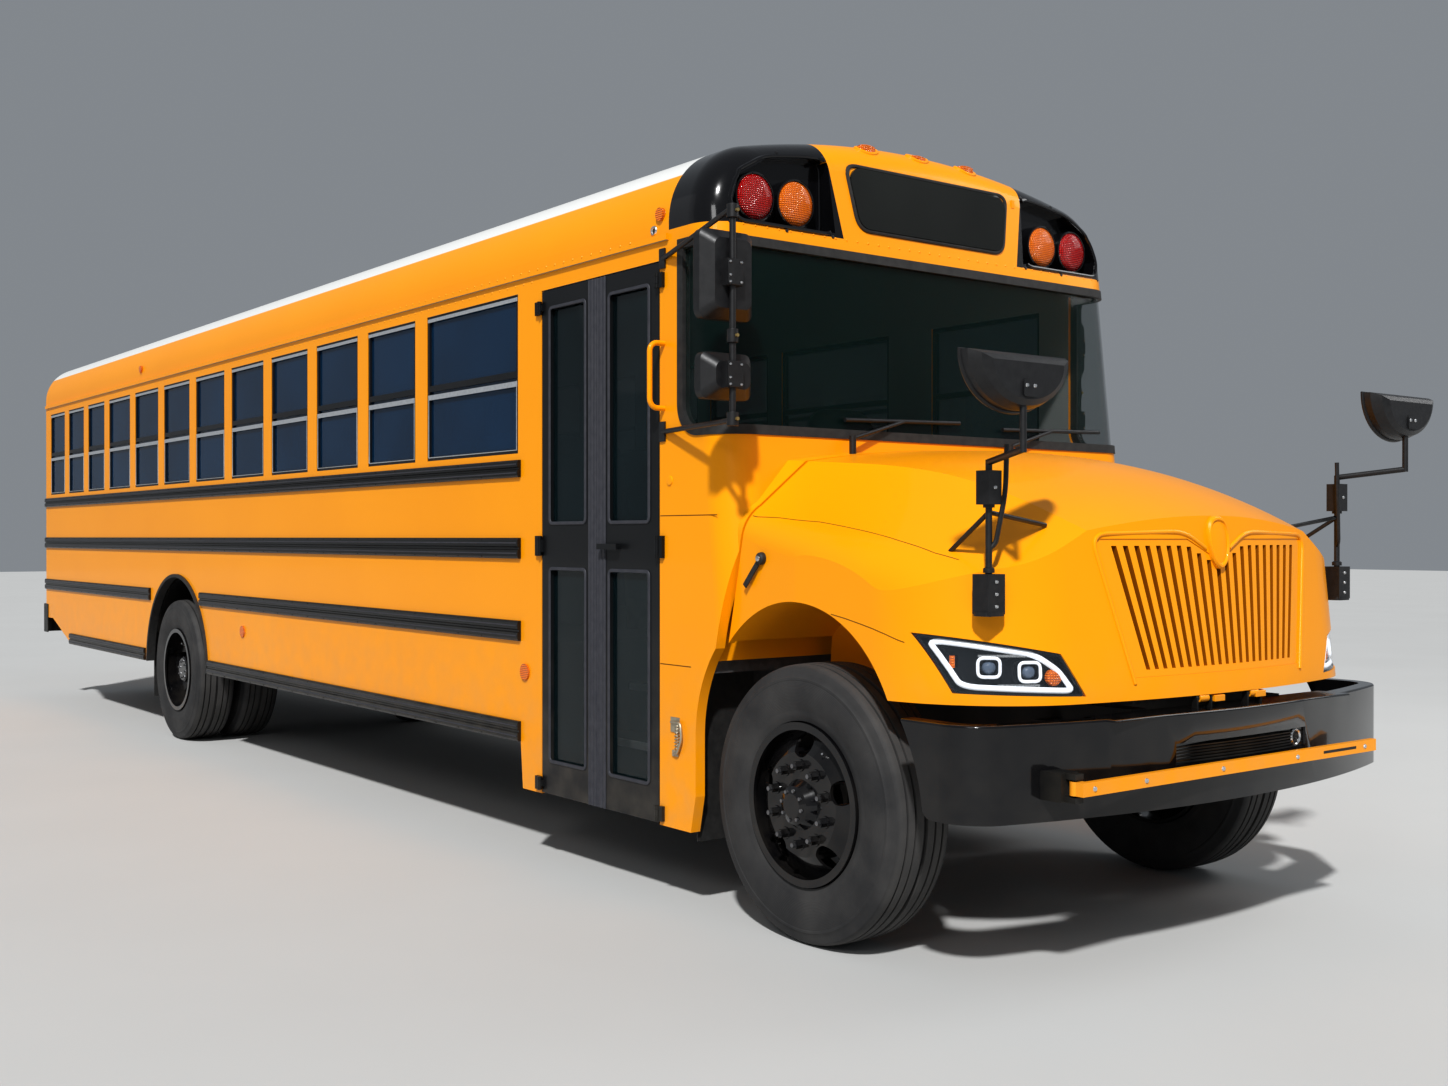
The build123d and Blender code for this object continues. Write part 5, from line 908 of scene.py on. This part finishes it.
def rivets():
    rows = {"start": -5.78, "pitch": 0.075, "count": 130, "wallEnd": 3.10, "roofZ": 2.688, "wallZ": 2.640,
            "railPitch": 0.24, "railCount": 36, "railInset": 0.008,
            "edge": -1.05, "capPitch": 0.06, "capCount": 36, "capZ": 2.700,
            "behind": -8, "rearWidth": 2.1, "rearCount": 30, "rearZ": (2.690, 0.760)}
    spots = []
    for hand, side in hands.items():
        for i in range(rows["count"]):
            x = rows["start"] + i * rows["pitch"]
            spots += beside("roof", x, rows["roofZ"], side)
            if x < rows["wallEnd"]:
                spots += beside(hand + "_wall", x, rows["wallZ"], side)
    fasteners("roofRivets", spots, rivet, "yellow", "body")
    spots = []
    for side in sides:
        for low, high in bus["rails"]:
            for i in range(rows["railCount"]):
                for z in (low + rows["railInset"], high - rows["railInset"]):
                    spots += beside("rub_rails", rows["start"] + i * rows["railPitch"], z, side)
    fasteners("railScrews", spots, rivet, "rail", "body")
    spots = [onCap(rows["edge"] + i * rows["capPitch"], rows["capZ"]) for i in range(rows["capCount"])]
    fasteners("capRivets", spots, rivet, "yellow", "body")
    spots = []
    for i in range(rows["rearCount"]):
        y = rows["edge"] + i * rows["rearWidth"] / (rows["rearCount"] - 1)
        for z in rows["rearZ"]:
            spots += present(("rear_wall", "roof"), (rows["behind"], y, z), (1, 0, 0))
    fasteners("rearRivets", spots, rivet, "yellow", "body")


# Painted highlight: pale grey beads along each rub rail stand in for the light lines the rails reflect.
def railHighlightBeads():
    bead = {"shares": (0.25, 0.75), "radius": 0.0036, "start": -6.0, "step": 0.02, "count": 480}
    bm = bmesh.new()
    for side in sides:
        for low, high in bus["rails"]:
            for share in bead["shares"]:
                path = []
                for i in range(bead["count"]):
                    x = bead["start"] + i * bead["step"]
                    found = beside("rub_rails", x, low + (high - low) * share, side)
                    path += [spot for spot, _ in found]
                    if path and (not found or i == bead["count"] - 1):
                        if len(path) > 3:
                            sweep(bm, [path[0], path[-1]], circle(bead["radius"], 6), (0, side, 0))
                        path = []
    piece("railHighlightBeads", bm, "greyRubber", "body")


# Painted shade: thin dark strips along the crease lines of the hood.
def hoodCreases():
    crease = {
        "upper": [(4.500, 1.128), (4.615, 1.121), (4.727, 1.101), (4.925, 1.077), (5.129, 1.068), (5.320, 1.057),
                  (5.469, 1.040), (5.579, 1.011)],  # x and y, seen from above
        "lower": [(5.085, 1.209), (5.160, 1.197), (5.235, 1.182), (5.300, 1.168), (5.355, 1.153), (5.410, 1.135),
                  (5.440, 1.127)],  # x and z, seen from the side
        "section": [(-0.0016, -0.003), (0.0016, -0.003), (0.0016, 0.0005), (-0.0016, 0.0005)],
    }

    def fine(name):
        flat = [Vector((a, b, 0)) for a, b in crease[name]]
        return [first.lerp(second, k / 5) for first, second in zip(flat, flat[1:]) for k in range(5)]

    bm = bmesh.new()
    for side in sides:
        for found in ([present("hood", (p.x, side * p.y, 4.0), (0, 0, -1)) for p in fine("upper")],
                      [beside("hood", p.x, p.y, side) for p in fine("lower")]):
            trace(bm, sum(found, []), crease["section"])
    piece("hoodCreases", bm, "seam", "hood")


def cowlDetails():
    cowl = {
        "seams": [(1.565, 4.470), (0.971, 4.300)], "seamX": 4.090, "seamHalf": 0.002, "seamOut": 1.2006,
        "latch": (4.206, 0.695), "plug": (4.158, 1.705), "knob": (4.690, 1.400), "port": (4.046, 2.717),
        # the two plates of the latch: how far out, then their ends along and up
        "plates": [(1.2035, -0.040, 0.020, 0.010, 0.070), (1.2060, -0.026, 0.014, -0.085, -0.060)],
        # its wire loop: along, out, up
        "loop": [(-0.030, 1.2080, 0.050), (0.040, 1.2130, 0.052), (0.050, 1.2150, -0.010), (0.020, 1.2150, -0.070),
                 (-0.005, 1.2100, -0.072)],
        "knobDome": [(-0.004, 0.022), (0.004, 0.024), (0.016, 0.022), (0.022, 0.016), (0.024, 0.0)],
        "pin": [(0.018, 0.012), (0.026, 0.011), (0.028, 0.0)],
        "strap": [(0.0, 0.010, 0.0), (-0.050, 0.014, -0.060), (-0.090, 0.014, -0.105)],
        "portRim": [(0.0, 0.010), (0.004, 0.012), (0.005, 0.018), (0.0, 0.021)],
        "portFace": [(0.0, 0.011), (0.002, 0.0)], "plugDome": [(0.0, 0.020), (0.005, 0.018), (0.007, 0.0)],
    }
    bm = bmesh.new()
    straps = bmesh.new()  # black pull strap with a bright pin, over the seam of the hood
    ports = bmesh.new()  # small round fittings by the front edge of the roof and on the cowl
    x, z = cowl["latch"]
    upper, lower = [(out, x + a, x + b, z + c, z + d) for out, a, b, c, d in cowl["plates"]]
    half = cowl["seamHalf"]
    for side in sides:
        for seamZ, end in cowl["seams"]:
            sideSlab(bm, side, cowl["seamOut"], cowl["seamX"], end, seamZ - half, seamZ + half)
        sideSlab(bm, side, *upper, 1)
        loop = [(x + a, side * b, z + c) for a, b, c in cowl["loop"]]
        sweep(bm, rounded(loop, 0.02), circle(0.0055, 12), look=1)
        coil = [(x + 0.012 + 0.010 * math.cos(t * 0.8), side * (1.2100 + 0.008 * math.sin(t * 0.8)),
                 z + 0.040 - t * 0.0016) for t in range(60)]
        sweep(bm, coil, circle(0.0022, 12), look=1)
        sideSlab(bm, side, *lower, 1)
        knob, _ = beside("hood", *cowl["knob"], side)[0]
        spin(straps, cowl["knobDome"], knob, (0, side, 0), 20)
        spin(straps, cowl["pin"], knob, (0, side, 0), 16, 1)
        strap = [knob + Vector((a, side * b, c)) for a, b, c in cowl["strap"]]
        sweep(straps, rounded(strap, 0.03), oblong(0.011, 0.003), (0, side, 0))
        spot, normal = beside("roof", *cowl["port"], side)[0]
        spin(ports, cowl["portRim"], spot, normal, 20, closed=True)
        spin(ports, cowl["portFace"], spot, normal, 20, 1)
        spin(ports, cowl["plugDome"], *beside("cowl", *cowl["plug"], side)[0], 20, 2)
    piece("hoodLatches", bm, ["seam", "zinc"], "body", bevel=0.001)
    piece("hoodStraps", straps, ["rubber", "steel"], "hood", bevel=0.001)
    piece("sidePorts", ports, ["steel", "rubber", "yellow"], "body")


# A crowned, closed pad: a rounded box whose sides pull in between the corners
def pad(bm, low, high, crown, pull, shear=0.0, cells=(7, 12, 4), power=7.0):
    centre = [(a + b) / 2 for a, b in zip(low, high)]
    half = [(b - a) / 2 for a, b in zip(low, high)]
    found = {}

    def corner(*place):
        if place not in found:
            a, b, c = [2 * t / n - 1 for t, n in zip(place, cells)]
            most = max(abs(a), abs(b), abs(c))
            reach = (abs(a) ** power + abs(b) ** power + abs(c) ** power) ** (1 / power)
            a, b, c = [t * most / reach for t in (a, b, c)]
            x = half[0] * a * (1 - pull * (1 - b * b))
            y = half[1] * b * (1 - pull * 0.5 * (1 - a * a))
            z = centre[2] + half[2] * c * (1 - crown * (a * a + b * b) / 2)
            found[place] = bm.verts.new((centre[0] + x + shear * (z - low[2]), centre[1] + y, z))
        return found[place]

    for axis in range(3):
        one, two = [n for n in range(3) if n != axis]
        for end in (0, cells[axis]):
            for p in range(cells[one]):
                for q in range(cells[two]):
                    bm.faces.new([corner(*place) for place in pane(axis, end, p, p + 1, q, q + 1)])


def seats():
    bench = {"rows": 12, "pitch": 0.700, "front": 2.855, "y": (0.195, 1.120), "cushion": (1.340, 1.440),
             "depth": 0.420, "back": (1.340, 2.010), "rake": 0.090, "thick": 0.080,
             "cushionCrown": (0.22, 0.02), "backCrown": (0.05, 0.10), "backCells": (4, 12, 10),
             "seamZ": 1.4255, "seamInset": 0.03, "pipeIn": 0.04, "pipeZ": 0.10}
    cushions, backs = bmesh.new(), bmesh.new()
    low, high = bench["back"]
    slope = -bench["rake"] / (high - low)
    piping, inset = circle(0.004, 5), bench["seamInset"]
    for row in range(bench["rows"]):
        x1 = bench["front"] - row * bench["pitch"]
        x0 = x1 - bench["depth"]
        for side in sides:
            y0, y1 = sorted(side * y for y in bench["y"])
            foot, top = bench["cushion"]
            pad(cushions, (x0, y0, foot), (x1, y1, top), *bench["cushionCrown"])
            seam = pane(2, bench["seamZ"], x0 + inset, x1 - inset, y0 + inset, y1 - inset)
            sweep(cushions, rounded(seam, 0.04, 3, True), piping, (0, 0, 1), True, 1)
            back = (x0 - bench["thick"], y0, low), (x0, y1, high)
            pad(backs, *back, *bench["backCrown"], slope, bench["backCells"])
            for z in (low + bench["pipeZ"], high - bench["pipeZ"]):
                x = x0 + slope * (z - low) - 0.003
                line = [(x, y0 + bench["pipeIn"], z), (x, y1 - bench["pipeIn"], z)]
                sweep(backs, line, piping, (0, 0, 1), look=1)
    for name, bm, node in (("benchCushions", cushions, "seat_cushions"), ("benchBacks", backs, "seat_backs")):
        made = piece(name, bm, ["vinyl", "driverCloth"], "body", [node], angle=60)
    driver = {
        # low, high, crown, pull, shear, cells, power
        "seat": [(3.240, 0.320, 1.380), (3.690, 0.800, 1.500), 0.25, 0.04, 0.0, (10, 10, 4), 5.0],
        "back": [(3.210, 0.325, 1.470), (3.320, 0.795, 2.145), 0.10, 0.12, -0.10, (4, 10, 12), 5.0],
        "piping": (0.395, 0.725), "pipingX": (3.300, 3.640), "pipingZ": 1.4995,
    }
    bm = bmesh.new()
    for name in ("seat", "back"):
        pad(bm, *driver[name])
    for y in driver["piping"]:
        line = [(x, y, driver["pipingZ"]) for x in driver["pipingX"]]
        sweep(bm, line, circle(0.004, 6), (0, 0, 1), look=1)
    made = piece("driverSeatPads", bm, ["driverCloth", "vinyl"], "body", (), angle=60)
    rest = bmesh.new()  # the driver's dash, wheel and pedestal without the plain seat block
    rest.from_mesh(nodes["driver_station"].data)
    bmesh.ops.remove_doubles(rest, verts=rest.verts, dist=1e-5)
    gone = [f for f in rest.faces if all(v.co.x < 3.695 and v.co.z > 1.3795 for v in f.verts)]
    bmesh.ops.delete(rest, geom=gone, context="FACES")
    piece("driverPlace", rest, "plastic", "body", ["driver_station"], angle=35)


def gasket(bm, corners, radius, width):
    section = [(-width, -0.002), (width, -0.002), (width * 0.6, 0.006), (-width * 0.6, 0.006)]
    sweep(bm, rounded(corners, radius, 5, True), section, (-1, 0, 0), True)


def rearDetails():
    rear = {
        "x": -5.9555, "faceX": -5.981,
        "window": (0.470, 1.060, 1.867, 2.543), "panel": (0.625, 1.075, 2.700, 2.915),
        # across, up, radius, look
        "lamps": [(0.930, 1.560, 0.088, 2), (0.730, 1.560, 0.050, 2), (0.930, 1.350, 0.088, 3)],
        "dome": [(-0.002, 1.0), (0.006, 0.96), (0.011, 0.80), (0.014, 0.45), (0.015, 0.0)],
        # the number plate's holder and blank: how far out, edges, corner, thickness, look
        "plates": [(0.0, (-0.450, -0.790, 1.110, 1.290), 0.015, 0.006, 1),
                   (0.006, (-0.468, -0.772, 1.122, 1.274), 0.012, 0.002, 0)],
        "plateScrews": (-0.530, -0.710), "plateScrew": [(0.0, 0.007), (0.003, 0.006), (0.004, 0.0)],
        "plateLamp": [(0.0, -0.530), (0.0, -0.710), (0.030, -0.695), (0.030, -0.545)],  # out, across
        "doorPanes": [(1.120, 1.560), (1.867, 2.493)], "grip": (-5.988, 0.172, 0.342, 1.652),
        "gripTube": (0.0145, 14), "gripFoot": [(0.0, 0.028), (0.005, 0.026), (0.006, 0.009)],
    }
    x = rear["x"]
    bm = bmesh.new()
    for side in sides:
        y0, y1, z0, z1 = rear["window"]
        gasket(bm, pane(0, x, side * y0, side * y1, z0, z1), 0.05, 0.016)
        y0, y1, z0, z1 = rear["panel"]
        panel = pane(0, x + 0.004, side * y0, side * y1, z0, z1)
        prism(bm, rounded(panel, 0.08, 6, True), (-0.008, 0, 0), 1)
        for y, z, radius, look in rear["lamps"]:
            centre = (rear["faceX"], side * y, z)
            spin(bm, [(a, b * radius) for a, b in rear["dome"]], centre, (-1, 0, 0), 32, look)
            rim = [(-0.022, radius), (0.002, radius), (0.004, radius + 0.004), (0.000, radius + 0.010),
                   (-0.022, radius + 0.012)]
            spin(bm, rim, centre, (-1, 0, 0), closed=True)
    piece("rearRims", bm, ["rubber", "blackGloss", "red", "amber"], "body")
    plate = bmesh.new()  # blank number plate on its holder, under its lamp
    for out, edges, corner, thick, look in rear["plates"]:
        prism(plate, rounded(pane(0, x - out, *edges), corner, 3, True), (-thick, 0, 0), look)
    for y in rear["plateScrews"]:
        spin(plate, rear["plateScrew"], (x - 0.008, y, 1.262), (-1, 0, 0), 12, 2)
    prism(plate, [(x - out, y, 1.300) for out, y in rear["plateLamp"]], (0, 0, 0.022), 1)
    piece("plateHolder", plate, ["signWhite", "plastic", "steel"], "body", bevel=0.001)
    door = bmesh.new()
    low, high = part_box("rear_door_glass")
    for z0, z1 in rear["doorPanes"]:
        gasket(door, pane(0, x, low.y, high.y, z0, z1), 0.04, 0.014)
    gripX, y0, y1, z = rear["grip"]  # a handle over the plain bar of the solid
    handle = [(x, y1, z), (gripX, y1, z), (gripX, y0, z), (x, y0, z)]
    sweep(door, rounded(handle, 0.012, 4), circle(*rear["gripTube"]), look=1)
    for y in (y0, y1):
        spin(door, rear["gripFoot"], (x, y, z), (-1, 0, 0), 24, 1)
    piece("rearDoorTrim", door, ["rubber", "blackSatin"], "rear_door")


def stopSign():
    sign = {"x": 2.520, "z": 1.600, "radius": 0.2340, "lampOut": 0.165,
            "border": [(-0.006, 0.0), (0.006, 0.0), (0.006, 0.0008), (-0.006, 0.0008)]}
    low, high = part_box("stop_arm")
    border, lamps = bmesh.new(), bmesh.new()
    corners = [math.radians(22.5 + 45 * i) for i in range(8)]
    corners = [(sign["radius"] * math.cos(a), sign["radius"] * math.sin(a)) for a in corners]
    for y, way in ((low.y, -1), (high.y, 1)):
        sweep(border, [(sign["x"] + a, y, sign["z"] + b) for a, b in corners], sign["border"], (0, way, 0), True)
    for z in (sign["z"] + sign["lampOut"], sign["z"] - sign["lampOut"]):  # red lamps in black rings, on both faces
        for y, way, reach in ((high.y, 1, 0.016), (low.y, -1, 0.010)):
            dome = [(0.002, 0.040), (reach * 0.7, 0.036), (reach * 0.95, 0.020), (reach, 0.0)]
            spin(lamps, dome, (sign["x"], y, z), (0, way, 0), 28, 1)
            ring = [(-0.002, 0.040), (reach * 0.5, 0.040), (reach * 0.5, 0.046), (-0.002, 0.050)]
            spin(lamps, ring, (sign["x"], y, z), (0, way, 0), 28, closed=True)
    piece("stopArmBorder", border, "signWhite", "stop_arm")
    piece("stopArmLamps", lamps, ["plastic", "red"], "stop_arm")


# Plain pale floor, soft light, and the camera where the photograph was taken
def studio():
    room = {"reach": 60.0, "sky": (0.84, 0.90, 0.97), "skyPower": 0.26, "lens": 37.29, "sensor": 36.0,
            "far": 200.0, "eye": (9.04, -4.657, 1.48), "yaw": 142.636, "pitch": -0.23}
    lamps = [
        {"name": "keySun", "power": 3.25, "turn": (45, 0, 45), "spread": 3.0},
        {"name": "fillSoft", "power": 170.0, "at": (12, -12, 8), "to": (3, 0, 1.5), "width": 3.0},
        {"name": "edgeSoft", "power": 150.0, "at": (8, 8, 7), "to": (5.5, 0, 1), "width": 4.0},
        {"name": "rimSoft", "power": 25.0, "at": (-8, -12, 8), "to": (-2, 0, 1.5), "width": 9.0},
    ]
    scene = bpy.context.scene
    ground = bpy.data.meshes.new("studioFloor")
    reach = room["reach"]
    ground.from_pydata(pane(2, 0, -reach, reach, -reach, reach), [], [(0, 1, 2, 3)])
    look = Look("studioFloorLook")
    look.set(Base_Color=look.mix(look.noise(0.7), (0.50, 0.50, 0.49), (0.54, 0.54, 0.53)), Roughness=0.85)
    ground.materials.append(look.material)
    floor = put("studioFloor", ground)
    scene.world = bpy.data.worlds.new("studioWorld")
    scene.world.use_nodes = True
    back = scene.world.node_tree.nodes["Background"]
    back.inputs["Color"].default_value = (*room["sky"], 1.0)
    back.inputs["Strength"].default_value = room["skyPower"]
    for entry in lamps:
        light = bpy.data.lights.new(entry["name"], "SUN" if "turn" in entry else "AREA")
        light.energy = entry["power"]
        lamp = put(entry["name"], light)
        if "turn" in entry:
            light.angle = math.radians(entry["spread"])
            lamp.rotation_euler = [math.radians(a) for a in entry["turn"]]
        else:
            light.size = entry["width"]
            lamp.location = entry["at"]
            aim = Vector(entry["to"]) - Vector(entry["at"])
            lamp.rotation_euler = aim.to_track_quat("-Z", "Y").to_euler()
    camera = bpy.data.cameras.new("photoCamera")
    camera.sensor_width = room["sensor"]
    camera.lens = room["lens"]
    camera.clip_end = room["far"]
    eye = put("photoCamera", camera)
    eye.location = room["eye"]
    yaw, pitch = math.radians(room["yaw"]), math.radians(room["pitch"])
    aim = Vector((math.cos(pitch) * math.cos(yaw), math.cos(pitch) * math.sin(yaw), math.sin(pitch)))
    eye.rotation_euler = aim.to_track_quat("-Z", "Y").to_euler()
    scene.camera = eye
    scene.view_settings.view_transform = "Standard"
    scene.view_settings.look = "Medium High Contrast"


stages = {
    "wheels": [wheels],
    "lamps": [headlamps, warningLamps, signAndMarkers],
    "mirrors and nose": [sideMirrors, crossviews, noseTrim, bumper],
    "body trim": [windows, doors, rivets, railHighlightBeads, hoodCreases, cowlDetails],
    "tail, seats and stop arm": [rearDetails, seats, stopSign],
    "studio": [studio],
}
for stage, makers in stages.items():
    for make in makers:
        make()
    print("stage:", stage)
